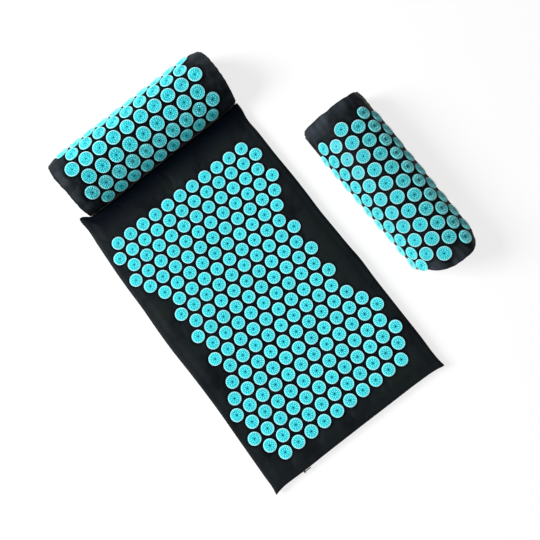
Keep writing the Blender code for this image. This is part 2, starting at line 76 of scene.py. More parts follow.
def stations(breaks: Sequence[float], step: float) -> np.ndarray:
    """Values that run through all the breaks, evenly spaced by about a step between two of them.

    Args:
        breaks: Rising values that are kept exactly.
        step: Largest distance between neighbours.

    Returns:
        Rising values from the first break to the last.
    """
    pieces = [np.array(breaks[:1], dtype=float)]
    for low, high in zip(breaks, breaks[1:]):
        count = max(1, math.ceil((high - low) / step - WELD))
        pieces.append(np.linspace(low, high, count + 1)[1:])
    return np.concatenate(pieces)


def smoothstep(value: np.ndarray) -> np.ndarray:
    """Eased step: 0 below 0, 1 above 1, and three squares less two cubes between."""
    t = np.clip(value, 0.0, 1.0)
    return t * t * (3.0 - 2.0 * t)


def undulation(x: np.ndarray, y: np.ndarray, wavelength: float, seed: int, waves: int = 9) -> np.ndarray:
    """Gentle unevenness: a sum of plane sine waves of fixed random headings, lengths and phases.

    Args:
        x: First coordinate on the cloth, in metres.
        y: Second coordinate, of the same shape.
        wavelength: Middle wavelength in metres.
        seed: Seed of the headings and phases.
        waves: How many waves are summed.

    Returns:
        Values of about -1 to 1, of the shape of x.
    """
    random = np.random.default_rng(seed)
    heading = random.uniform(0.0, math.tau, waves)
    length = wavelength * random.uniform(*WAVE_LENGTHS, waves)
    phase = random.uniform(0.0, math.tau, waves)
    along = x[..., None] * np.cos(heading) + y[..., None] * np.sin(heading)
    return np.sin(math.tau * along / length + phase).sum(axis=-1) / math.sqrt(waves * 2.0)


@dataclass(frozen=True)
class Ripple:
    """Waviness of one kind: its height, middle wavelength, number of waves and share of a seed."""

    height: float
    wavelength: float
    seed: int
    waves: int = 9

    def at(self, x: np.ndarray, y: np.ndarray, seed: int) -> np.ndarray:
        """Height at places on the cloth, for the seed of the whole piece."""
        return self.height * undulation(x, y, self.wavelength, seed + self.seed, self.waves)


def curve_through(at: np.ndarray, marks: Sequence[tuple[float, float]]) -> np.ndarray:
    """Smooth curve through marks: a cubic between each two, whose slopes at the marks are those of their neighbours.

    Args:
        at: Places at which the curve is wanted, in metres.
        marks: Place and value of each mark in millimetres, by rising place.

    Returns:
        Values in metres, of the shape of at. Beyond the outer marks they stay level.
    """
    places, values = np.array(marks).T * MM
    slopes = np.gradient(values, places)
    within = np.clip(at, places[0], places[-1])
    low = np.clip(np.searchsorted(places, within, side="right") - 1, 0, len(places) - 2)
    step = places[low + 1] - places[low]
    t = (within - places[low]) / step
    eased = smoothstep(t)
    bend = t * (1.0 - t) * step * ((1.0 - t) * slopes[low] - t * slopes[low + 1])
    return values[low] * (1.0 - eased) + values[low + 1] * eased + bend


def unit(vectors: np.ndarray) -> np.ndarray:
    """Vectors of length 1 along those given."""
    return vectors / np.linalg.norm(vectors, axis=-1, keepdims=True)


def normals_of(points: np.ndarray) -> np.ndarray:
    """Unit normals of a grid: the cross product of its row and column differences.

    Args:
        points: Grid of rows, columns and x, y, z.

    Returns:
        Array of the same shape.
    """
    by_row, by_column = np.gradient(points, axis=(0, 1))
    cross = np.cross(by_column, by_row)
    length = np.linalg.norm(cross, axis=-1, keepdims=True)
    return cross / np.maximum(length, NO_LENGTH)


def resample(grid: np.ndarray, rows: np.ndarray, columns: np.ndarray,
             new_rows: np.ndarray, new_columns: np.ndarray) -> np.ndarray:
    """Carry values from a coarse grid to a finer one by straight interpolation, rows first.

    Args:
        grid: Values of shape rows, columns, channels.
        rows: Row stations of the coarse grid.
        columns: Column stations of the coarse grid.
        new_rows: Row stations of the finer grid.
        new_columns: Column stations of the finer grid.

    Returns:
        Values on the finer grid.
    """
    def between(values: np.ndarray, old: np.ndarray, new: np.ndarray) -> np.ndarray:
        """Interpolate the first axis."""
        at = np.clip(np.searchsorted(old, new, side="right") - 1, 0, len(old) - 2)
        share = ((new - old[at]) / (old[at + 1] - old[at]))[:, None, None]
        return values[at] * (1.0 - share) + values[at + 1] * share

    tall = between(grid, rows, new_rows)
    return between(tall.transpose(1, 0, 2), columns, new_columns).transpose(1, 0, 2)


def placed(points: np.ndarray, matrix: np.ndarray) -> np.ndarray:
    """Turn and shift points by a 4 by 4 matrix, whatever their grid's shape."""
    return points @ matrix[:3, :3].T + matrix[:3, 3]


def grid_of(columns: np.ndarray, rows: np.ndarray) -> np.ndarray:
    """Column and row station of each point of a grid, of shape rows, columns, 2."""
    return np.stack(np.broadcast_arrays(columns[None, :], rows[:, None]), axis=-1)


def grid_quads(rows: int, columns: int) -> np.ndarray:
    """Corner numbers of a grid's cells, of shape rows - 1, columns - 1, 4."""
    first = np.arange(rows - 1)[:, None] * columns + np.arange(columns - 1)[None, :]
    return np.stack([first, first + 1, first + columns + 1, first + columns], axis=-1)


def make_object(name: str, points: np.ndarray, faces: Iterable[np.ndarray], chart: np.ndarray | None = None,
                values: dict[str, np.ndarray] | None = None, weld: bool = True) -> bpy.types.Object:
    """Make a mesh object from arrays, weld its doubles and turn its faces outwards.

    Args:
        name: Name of the object and its mesh.
        points: Vertices, one row each.
        faces: Arrays of faces, each array with one number of corners.
        chart: Position on the cloth for each vertex, in metres, kept as the UV map.
        values: Further numbers for each vertex, kept as attributes.
        weld: Whether doubles are merged and normals worked out again.

    Returns:
        The object, linked to the scene.
    """
    blocks = [np.asarray(block).reshape(-1, block.shape[-1]) for block in faces]
    mesh = bpy.data.meshes.new(name)
    mesh.vertices.add(len(points))
    mesh.vertices.foreach_set("co", np.ascontiguousarray(points, dtype=np.float32).ravel())
    corners = np.concatenate([block.ravel() for block in blocks]).astype(np.int32)
    sizes = np.concatenate([np.full(len(block), block.shape[1]) for block in blocks])
    starts = np.concatenate([[0], np.cumsum(sizes)[:-1]]).astype(np.int32)
    mesh.loops.add(len(corners))
    mesh.loops.foreach_set("vertex_index", corners)
    mesh.polygons.add(len(sizes))
    mesh.polygons.foreach_set("loop_start", starts)
    if chart is not None:
        layer = mesh.uv_layers.new(name="cloth")
        layer.uv.foreach_set("vector", chart[corners].astype(np.float32).ravel())
    for key, numbers in (values or {}).items():
        attribute = mesh.attributes.new(key, "FLOAT", "POINT")
        attribute.data.foreach_set("value", numbers.astype(np.float32))
    mesh.update(calc_edges=True)
    mesh.validate()
    if weld:
        editor = bmesh.new()
        editor.from_mesh(mesh)
        bmesh.ops.remove_doubles(editor, verts=editor.verts, dist=WELD)
        bmesh.ops.recalc_face_normals(editor, faces=editor.faces)
        editor.to_mesh(mesh)
        editor.free()
    mesh.shade_smooth()
    mesh.set_sharp_from_angle(angle=SMOOTH_ANGLE)
    made = bpy.data.objects.new(name, mesh)
    bpy.context.scene.collection.objects.link(made)
    return made


def cloth_shell(name: str, outer: np.ndarray, inner: np.ndarray, chart: np.ndarray, keep: np.ndarray | None = None,
                ring: bool = False, painted_light_and_shade: np.ndarray | None = None) -> bpy.types.Object:
    """Make a closed shell of cloth from an outer and an inner grid, with a rim round all that is kept.

    Args:
        name: Name of the object.
        outer: Outer face, of shape rows, columns, 3.
        inner: Inner face, of the same shape.
        chart: Position on the cloth, of shape rows, columns, 2.
        keep: Which cells are cloth, of shape rows - 1, columns - 1.
        ring: Whether each row closes on itself, and so gets no rim at its ends.
        painted_light_and_shade: Painted light where above 0, and painted shade down to -1, of shape rows, columns.

    Returns:
        The object.
    """
    rows, columns = outer.shape[:2]
    painted_light_and_shade = np.zeros((rows, columns)) if painted_light_and_shade is None else painted_light_and_shade
    keep = np.ones((rows - 1, columns - 1), dtype=bool) if keep is None else keep
    below = rows * columns
    cells = grid_quads(rows, columns)
    faces = [cells[keep], cells[keep][:, ::-1] + below]
    number = np.arange(below).reshape(rows, columns)
    padded_rows = np.pad(keep, ((1, 1), (0, 0)))
    across = padded_rows[1:] != padded_rows[:-1]
    padded_columns = np.pad(keep, ((0, 0), (1, 1)), mode="edge" if ring else "constant")
    along = padded_columns[:, 1:] != padded_columns[:, :-1]
    for start, end in ((number[:, :-1][across], number[:, 1:][across]),
                       (number[:-1, :][along], number[1:, :][along])):
        faces.append(np.stack([start, end, end + below, start + below], axis=-1))
    points = np.concatenate([outer.reshape(-1, 3), inner.reshape(-1, 3)])
    flat = chart.reshape(-1, 2)
    used = np.zeros(len(points), dtype=bool)
    for block in faces:
        used[block.ravel()] = True
    renumber = np.cumsum(used) - 1
    faces = [renumber[block] for block in faces if len(block)]
    # Painted light and shade for the cloth's colour, one number for each vertex.
    painted_shading = np.tile(painted_light_and_shade.ravel(), 2)[used]
    return make_object(name, points[used], faces, np.concatenate([flat, flat])[used], {"painted_light_and_shade": painted_shading})


def scattered(name: str, points: np.ndarray, faces: Sequence[np.ndarray], frames: np.ndarray,
              values: dict[str, np.ndarray] | None = None) -> bpy.types.Object:
    """Set copies of a small closed shape at many frames, as one mesh.

    Args:
        name: Name of the object.
        points: Vertices of the shape.
        faces: Its faces.
        frames: Matrices of shape count, 4, 4.
        values: Numbers for each copy and vertex, of shape count, vertices.

    Returns:
        The object.
    """
    everywhere = np.einsum("kij,nj->kni", frames[:, :3, :3], points) + frames[:, None, :3, 3]
    shifts = np.arange(len(frames)) * len(points)
    blocks = [(block[None] + shifts[:, None, None]).reshape(-1, block.shape[-1]) for block in faces]
    flat = {key: np.broadcast_to(numbers, (len(frames), len(points))).ravel()
            for key, numbers in (values or {}).items()}
    return make_object(name, everywhere.reshape(-1, 3), blocks, values=flat, weld=False)


def turned_shape(profile: Sequence[tuple[float, float]], sides: int,
                 open_axis: bool = False) -> tuple[np.ndarray, list[np.ndarray]]:
    """Turn a profile of radius and height round Z into a closed body that starts and ends on the axis or a cap.

    Args:
        profile: Radius and height from the bottom to the top. A last radius of 0 makes a tip.
        sides: How many sides the body has.
        open_axis: Whether the profile closes on itself instead, and leaves the axis open.

    Returns:
        The vertices and the faces, which point outwards.
    """
    angle = np.arange(sides) * math.tau / sides
    ring = np.stack([np.cos(angle), np.sin(angle)], axis=-1)
    tipped = profile[-1][0] == 0
    rings = profile[:-1] if tipped else profile
    points = [np.concatenate([ring * radius, np.full((sides, 1), height)], axis=-1) for radius, height in rings]
    here = np.arange(sides)
    after = (here + 1) % sides
    faces = [] if open_axis else [here[::-1][None]]
    for level in range(len(rings) - (not open_axis)):
        low, high = level * sides, (level + 1) % len(rings) * sides
        faces.append(np.stack([here + low, after + low, after + high, here + high], axis=-1))
    top = (len(rings) - 1) * sides
    if open_axis:
        return np.concatenate(points), faces
    if tipped:
        points.append(np.array([[0.0, 0.0, profile[-1][1]]]))
        faces.append(np.stack([here + top, after + top, np.full(sides, top + sides)], axis=-1))
    else:
        faces.append((here + top)[None])
    return np.concatenate(points), faces


def frames_of(side: ArrayLike, forward: ArrayLike, up: ArrayLike, origin: ArrayLike) -> np.ndarray:
    """Put axes and origins together as frames. An axis that is given once serves all of them.

    Args:
        side: X axes.
        forward: Y axes.
        up: Z axes.
        origin: Origins, one row each.

    Returns:
        Matrices of shape count, 4, 4.
    """
    columns = np.stack(np.broadcast_arrays(side, forward, up, origin), axis=-1)
    last = np.broadcast_to([0.0, 0.0, 0.0, 1.0], (len(columns), 1, 4))
    return np.concatenate([columns, last], axis=1)


def frames_from(origin: np.ndarray, normal: np.ndarray, turn: np.ndarray) -> np.ndarray:
    """Frames at points of a surface, whose Z is the normal and whose X is turned about it.

    Args:
        origin: Points, one row each.
        normal: Unit normals, one row each.
        turn: Angle of each about its normal.

    Returns:
        Matrices of shape count, 4, 4.
    """
    side = unit(np.cross(np.array([0.0, 1.0, 0.0]), normal))
    forward = np.cross(normal, side)
    cos, sin = np.cos(turn)[:, None], np.sin(turn)[:, None]
    return frames_of(side * cos + forward * sin, forward * cos - side * sin, normal, origin)


# Finishes


class Shader:
    """A material in the making: adds nodes and links them."""

    def __init__(self, name: str) -> None:
        """Start a material with a Principled shader.

        Args:
            name: Name of the material.
        """
        self.material = bpy.data.materials.new(name)
        self.material.use_nodes = True
        self.tree = self.material.node_tree
        self.surface = self.tree.nodes["Principled BSDF"]

    def node(self, kind: str, inputs: dict | None = None, **settings: object) -> bpy.types.Node:
        """Add a node.

        Args:
            kind: The node's type name.
            inputs: Values or sockets for its inputs, by name or number.
            settings: Properties of the node.

        Returns:
            The node.
        """
        made = self.tree.nodes.new(kind)
        for key, value in settings.items():
            setattr(made, key, value)
        for key, value in (inputs or {}).items():
            self.feed(made.inputs[key], value)
        return made

    def feed(self, socket: bpy.types.NodeSocket, value: object) -> None:
        """Link a socket to an input, or set the input's value."""
        if isinstance(value, bpy.types.NodeSocket):
            self.tree.links.new(value, socket)
        else:
            socket.default_value = value

    def math(self, operation: str, first: object, second: object = 0.0) -> bpy.types.NodeSocket:
        """Combine two numbers."""
        return self.node("ShaderNodeMath", {0: first, 1: second}, operation=operation).outputs[0]

    def ramp(self, value: bpy.types.NodeSocket,
             stops: Sequence[tuple[float, Sequence[float]]]) -> bpy.types.NodeSocket:
        """Colour a number by stops of position and linear colour."""
        made = self.node("ShaderNodeValToRGB", {0: value})
        elements = made.color_ramp.elements
        while len(elements) < len(stops):
            elements.new(0.5)
        for element, (position, colour) in zip(elements, stops):
            element.position = position
            element.color = (*colour, 1.0)
        return made.outputs[0]

    def mix(self, share: bpy.types.NodeSocket, first: object, second: object) -> bpy.types.NodeSocket:
        """Blend two colours by a share that is held between 0 and 1."""
        return self.node("ShaderNodeMix", {0: share, 6: first, 7: second}, data_type="RGBA").outputs[2]

    def noise(self, coordinates: bpy.types.NodeSocket, scale: float, detail: float = 3.0) -> bpy.types.NodeSocket:
        """Soft noise of about 0 to 1."""
        made = self.node("ShaderNodeTexNoise", {"Vector": coordinates, "Scale": scale, "Detail": detail})
        return made.outputs[0]

    def scratches(self, along: float, across: float, detail: float) -> bpy.types.NodeSocket:
        """Noise drawn out along X like rubbing marks, whose scales along and across it differ."""
        stretched = self.node("ShaderNodeMapping", {"Vector": self.places(), "Scale": (along, across, across)})
        return self.noise(stretched.outputs[0], 1.0, detail)

    def uneven(self, grain: bpy.types.NodeSocket, middle: float, spread: float) -> None:
        """Set a roughness that follows a grain about a middle value."""
        self.set(Roughness=self.math("ADD", self.math("MULTIPLY", grain, spread), middle - spread / 2))

    def places(self) -> bpy.types.NodeSocket:
        """Position on the object, in metres."""
        return self.node("ShaderNodeTexCoord").outputs["Object"]

    def cloth_places(self) -> bpy.types.NodeSocket:
        """Position along the cloth, in metres, from the piece's own UV map."""
        return self.node("ShaderNodeUVMap", uv_map="cloth").outputs[0]

    def number(self, name: str) -> bpy.types.NodeSocket:
        """A number that the piece's vertices carry."""
        return self.node("ShaderNodeAttribute", attribute_name=name).outputs["Fac"]

    def bump(self, height: bpy.types.NodeSocket, strength: float, distance: float) -> None:
        """Roughen the surface by a height."""
        made = self.node("ShaderNodeBump", {"Height": height, "Strength": strength, "Distance": distance})
        self.feed(self.surface.inputs["Normal"], made.outputs[0])

    def set(self, **values: object) -> None:
        """Set or link inputs of the Principled shader; an underscore in a name stands for a space."""
        for key, value in values.items():
            self.feed(self.surface.inputs[key.replace("_", " ")], value)


@dataclass(frozen=True)
class WovenCloth:
    """Plain or ribbed weave of dyed yarn, softly uneven, paler with painted light and darker with painted shade."""

    name: str
    dark: tuple[float, float, float]
    light: tuple[float, float, float]
    painted_light: tuple[float, float, float]
    yarn: float = 0.7 * MM
    rough: float = 0.50
    gloss: float = 0.020
    sheen: float = 0.006
    sheen_rough: float = 0.45
    sheen_tint: tuple[float, float, float] = (0.60, 0.66, 0.75)
    painted_shade: tuple[float, float, float] = (0.0004, 0.0014, 0.0034)
    warmth: tuple[float, float, float] = (1.0, 1.06, 0.80)
    tone_stops: tuple[float, float, float] = (0.34, 0.52, 0.66)
    slub_scale: float = 900.0
    patch_scale: float = 17.0
    fuzz_scale: float = 240.0
    fuzz_share: float = 0.25
    stripe_share: float = 0.04
    painted_shade_share: float = 0.9
    rough_spread: float = 0.10
    relief: float = 0.15 * MM
    ribbed: bool = False

    def material(self) -> bpy.types.Material:
        """Build the material: crossed sine bands for yarns, noise for slubs and lint, painted light and shade."""
        shader = Shader(self.name)
        cloth = shader.cloth_places()
        split = shader.node("ShaderNodeSeparateXYZ", {0: cloth})
        wave = math.tau / self.yarn / 2.0
        warp = shader.math("SINE", shader.math("MULTIPLY", split.outputs[0], wave))
        weft = shader.math("SINE", shader.math("MULTIPLY", split.outputs[1], wave))
        crossed = shader.math("ABSOLUTE", warp) if self.ribbed else shader.math("MULTIPLY", warp, weft)
        slub = shader.noise(cloth, self.slub_scale, 2.0)
        height = shader.math("ADD", shader.math("MULTIPLY", crossed, 0.5), slub)
        patches = shader.noise(shader.places(), self.patch_scale, 4.0)
        fuzz = shader.noise(shader.places(), self.fuzz_scale, 2.0)
        blend = shader.math("ADD", shader.math("MULTIPLY", patches, 1.0 - self.fuzz_share),
                            shader.math("MULTIPLY", fuzz, self.fuzz_share))
        tone = shader.math("ADD", blend, shader.math("MULTIPLY", crossed, self.stripe_share))
        warm = tuple(channel * factor for channel, factor in zip(self.light, self.warmth))
        dyed = shader.ramp(tone, tuple(zip(self.tone_stops, (self.dark, self.light, warm))))
        painted_light_and_shade = shader.number("painted_light_and_shade")
        # Painted light: the pale colour, mixed in where the number is above 0, broken up by the lint noise.
        with_painted_light = shader.mix(shader.math("MULTIPLY", painted_light_and_shade, shader.math("ADD", fuzz, 0.5)), dyed, (*self.painted_light, 1.0))
        # Painted shade: the dark colour, mixed in where the number is below 0.
        painted_shade = shader.mix(shader.math("MULTIPLY", painted_light_and_shade, -self.painted_shade_share), with_painted_light, (*self.painted_shade, 1.0))
        shader.set(Base_Color=painted_shade, Specular_IOR_Level=self.gloss, Sheen_Weight=self.sheen,
                   Sheen_Roughness=self.sheen_rough, Sheen_Tint=(*self.sheen_tint, 1.0))
        shader.uneven(slub, self.rough, self.rough_spread)
        shader.bump(height, 0.35, self.relief)
        return shader.material


@dataclass(frozen=True)
class MouldedPlastic:
    """Half-gloss coloured plastic whose colour follows how high a point stands on its disc, as painted shade and
    light.
    """

    name: str
    shade: tuple[float, float, float]
    floor: tuple[float, float, float]
    body: tuple[float, float, float]
    tip: tuple[float, float, float]
    rough: float = 0.42
    gloss: float = 0.36
    lot_value: float = 0.97
    lot_spread: float = 0.06
    grain_scale: float = 1500.0
    rough_spread: float = 0.16
    relief: float = 0.05 * MM
    stops: tuple[float, ...] = (0.0, 0.28, 0.34, 0.42, 0.66, 0.88)

    def material(self) -> bpy.types.Material:
        """Build the material: a ramp from painted shade on the floor to painted light at the tips, varied by disc.
        """
        shader = Shader(self.name)
        rise, lot_and_painted_shade = shader.number("rise"), shader.number("lot_and_painted_shade")
        # Shade and floor are painted shade, tip painted light; the rim takes the tip's colour.
        colours = self.shade, self.floor, self.floor, self.body, self.body, self.tip
        colour = shader.ramp(rise, tuple(zip(self.stops, colours)))
        value = shader.math("ADD", shader.math("MULTIPLY", lot_and_painted_shade, self.lot_spread), self.lot_value)
        toned = shader.node("ShaderNodeHueSaturation", {"Color": colour, "Value": value, "Fac": 1.0})
        shader.set(Base_Color=toned.outputs[0], IOR=1.50, Specular_IOR_Level=self.gloss)
        grain = shader.noise(shader.places(), self.grain_scale, 2.0)
        shader.uneven(grain, self.rough, self.rough_spread)
        shader.bump(grain, 0.12, self.relief)
        return shader.material


@dataclass(frozen=True)
class OpenFoam:
    """Open-cell foam: pale, with a fine field of pores."""

    name: str
    pale: tuple[float, float, float]
    pore: tuple[float, float, float]
    cell_scale: float = 900.0
    cloud_scale: float = 40.0
    cloud_share: float = 0.4
    relief: float = 0.3 * MM

    def material(self) -> bpy.types.Material:
        """Build the material: cells of about a millimetre, darker at their middles."""
        shader = Shader(self.name)
        cells = shader.node("ShaderNodeTexVoronoi", {"Vector": shader.places(), "Scale": self.cell_scale}).outputs[0]
        clouds = shader.noise(shader.places(), self.cloud_scale)
        tone = shader.math("ADD", cells, shader.math("MULTIPLY", clouds, self.cloud_share))
        shader.set(Base_Color=shader.ramp(tone, ((0.25, self.pore), (0.60, self.pale))), Roughness=0.95)
        shader.bump(cells, 0.6, self.relief)
        return shader.material


@dataclass(frozen=True)
class MouldedNylon:
    """Black nylon with fine scratches in its gloss."""

    name: str
    colour: tuple[float, float, float]
    rough: float
    rubbed_gain: float = 1.9
    rough_spread: float = 0.2
    relief: float = 0.05 * MM

    def material(self) -> bpy.types.Material:
        """Build the material: noise for colour and gloss, stretched along X like rubbing marks."""
        shader = Shader(self.name)
        marks = shader.scratches(60.0, 900.0, 4.0)
        light = tuple(channel * self.rubbed_gain for channel in self.colour)
        shader.set(Base_Color=shader.ramp(marks, ((0.35, self.colour), (0.75, light))))
        shader.uneven(marks, self.rough, self.rough_spread)
        shader.bump(marks, 0.1, self.relief)
        return shader.material


@dataclass(frozen=True)
class CastMetal:
    """Plated die-cast metal, in clouds of duller and brighter colour, with fine scratches."""

    name: str
    colour: tuple[float, float, float]
    rough: float
    dull_share: float = 0.55

    def material(self) -> bpy.types.Material:
        """Build the material: cloudy gloss from noise over fine scratches."""
        shader = Shader(self.name)
        cloud = shader.noise(shader.places(), 700.0, 4.0)
        scratch = shader.scratches(300.0, 5000.0, 2.0)
        dull = tuple(channel * self.dull_share for channel in self.colour)
        shader.set(Base_Color=shader.ramp(cloud, ((0.35, dull), (0.65, self.colour))), Metallic=1.0)
        both = shader.math("ADD", shader.math("MULTIPLY", cloud, 0.20), shader.math("MULTIPLY", scratch, 0.12))
        shader.set(Roughness=shader.math("ADD", both, self.rough - 0.16))
        shader.bump(scratch, 0.08, 0.03 * MM)
        return shader.material


@dataclass(frozen=True)
class Finish:
    """A material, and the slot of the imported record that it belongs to."""

    material: bpy.types.Material
    slot: Slot


@dataclass
class Finishes:
    """Every finish of the object, made once."""

    cotton: Finish = field(init=False)
    plastic: Finish = field(init=False)
    foam: Finish = field(init=False)
    tape: Finish = field(init=False)
    thread: Finish = field(init=False)
    nylon: Finish = field(init=False)
    metal: Finish = field(init=False)

    def __post_init__(self) -> None:
        """Make the finishes in linear colours: the object's own, and painted light and shade in the cotton and the
        plastic.
        """
        # Painted light: the cotton's third colour, the plastic's tip. Painted shade: the plastic's shade and floor.
        cotton = WovenCloth("black_cotton_weave", dark=(0.0042, 0.0054, 0.0064), light=(0.0086, 0.0114, 0.0134),
                            painted_light=(0.0330, 0.0400, 0.0500))
        plastic = MouldedPlastic("teal_moulded_plastic", shade=(0.002, 0.140, 0.175), floor=(0.016, 0.500, 0.580),
                                 body=(0.110, 0.960, 0.985), tip=(0.600, 0.900, 0.930))
        foam = OpenFoam("white_open_foam", pale=(0.780, 0.770, 0.720), pore=(0.520, 0.510, 0.450))
        tape = WovenCloth("black_ribbed_tape", dark=(0.008, 0.008, 0.009), light=(0.016, 0.016, 0.018),
                          painted_light=(0.030, 0.030, 0.034), yarn=0.5 * MM, ribbed=True)
        thread = MouldedNylon("black_sewing_thread", colour=(0.014, 0.014, 0.016), rough=0.62)
        nylon = MouldedNylon("black_nylon_teeth", colour=(0.016, 0.016, 0.018), rough=0.42)
        metal = CastMetal("black_plated_metal", colour=(0.018, 0.018, 0.020), rough=0.44)
        self.cotton = Finish(cotton.material(), Slot.COTTON)
        self.plastic = Finish(plastic.material(), Slot.PLASTIC)
        self.foam = Finish(foam.material(), Slot.FOAM)
        self.tape = Finish(tape.material(), Slot.TAPE)
        self.thread = Finish(thread.material(), Slot.COTTON)
        self.nylon = Finish(nylon.material(), Slot.NYLON)
        self.metal = Finish(metal.material(), Slot.METAL)


FINISHES = Finishes()


def finish_piece(piece: bpy.types.Object, finish: Finish, body: str, stands_for: Sequence[str] = ()) -> None:
    """Dress a piece, set it on its body, and hide the CAD nodes that it stands for.

    Args:
        piece: The piece, in place.
        finish: Its material and slot.
        body: The body that it moves with.
        stands_for: The CAD nodes that it takes the place of.
    """
    piece.data.materials.append(finish.material)
    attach(piece, body)
    if stands_for:
        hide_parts(*stands_for)
    LOG.info("%s: %d faces on %s", piece.name, len(piece.data.polygons), body)


def dress_node(node: str, finish: Finish) -> None:
    """Give a CAD node a finish in place of its plain one."""
    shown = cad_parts[node]
    for slot in shown.material_slots:
        slot.material = finish.material
    if not shown.material_slots:
        shown.data.materials.append(finish.material)
    LOG.info("%s keeps its shape", node)


# Cloth under light pressure from its foam


@dataclass(frozen=True)
class ClothStudy:
    """A cloth simulation of a closed cover, with pressure from inside and no gravity."""

    pressure: float = 4.0
    growth: float = 0.02
    bending: float = 0.6
    frames: int = 20
    quality: int = 6
    mass: float = 0.15
    stretch_stiffness: float = 15.0
    shear_stiffness: float = 5.0
    least_length: float = 1e-9
    cap: float = 3.0 * MM

    def settle(self, points: np.ndarray, faces: Sequence[np.ndarray], held: np.ndarray) -> np.ndarray:
        """Let the cover settle, and return how far each point moved.

        The move is shortened smoothly so that none is longer than the cap: cap times the hyperbolic tangent
        of length over cap, along the move.

        Args:
            points: Vertices of the closed cover.
            faces: Its faces.
            held: How firmly each vertex is held, from 0 to 1.

        Returns:
            Moves of the same shape as the points.
        """
        cover = make_object("cloth_study", points, faces, weld=False)
        group = cover.vertex_groups.new(name="held")
        for level in np.unique(held.round(2)):
            group.add(np.flatnonzero(held.round(2) == level).tolist(), float(level), "REPLACE")
        cloth = cover.modifiers.new("cloth", "CLOTH")
        settings = cloth.settings
        settings.quality = self.quality
        settings.mass = self.mass
        settings.tension_stiffness = settings.compression_stiffness = self.stretch_stiffness
        settings.shear_stiffness = self.shear_stiffness
        settings.bending_stiffness = self.bending
        settings.shrink_min = settings.shrink_max = -self.growth
        settings.use_pressure = True
        settings.uniform_pressure_force = self.pressure
        settings.vertex_group_mass = group.name
        settings.effector_weights.gravity = 0.0
        cloth.collision_settings.use_collision = False
        cloth.point_cache.frame_end = self.frames
        scene = bpy.context.scene
        for number in range(1, self.frames + 1):
            scene.frame_set(number)
        depsgraph = bpy.context.evaluated_depsgraph_get()
        settled = cover.evaluated_get(depsgraph)
        mesh = settled.to_mesh()
        moved = np.empty(len(points) * 3, dtype=np.float32)
        mesh.vertices.foreach_get("co", moved)
        settled.to_mesh_clear()
        scene.frame_set(1)
        bpy.data.objects.remove(cover, do_unlink=True)
        move = moved.reshape(-1, 3) - points
        length = np.linalg.norm(move, axis=-1, keepdims=True)
        return move * (self.cap * np.tanh(length / self.cap) / np.maximum(length, self.least_length))


# Spike discs


@dataclass(frozen=True)
class Lattice:
    """Staggered rows of places about a middle."""

    row_counts: tuple[int, ...]
    column_pitch: float
    row_pitch: float
    shift: float = 0.0
    slide: float = 0.0

    def centres(self) -> np.ndarray:
        """Places of all rows, first row lowest, as an array of two columns."""
        rows = []
        for number, count in enumerate(self.row_counts):
            along = (np.arange(count) - (count - 1) / 2) * self.column_pitch + self.slide
            across = (number - (len(self.row_counts) - 1) / 2) * self.row_pitch + self.shift
            rows.append(np.stack([along, np.full(count, across)], axis=-1))
        return np.concatenate(rows)


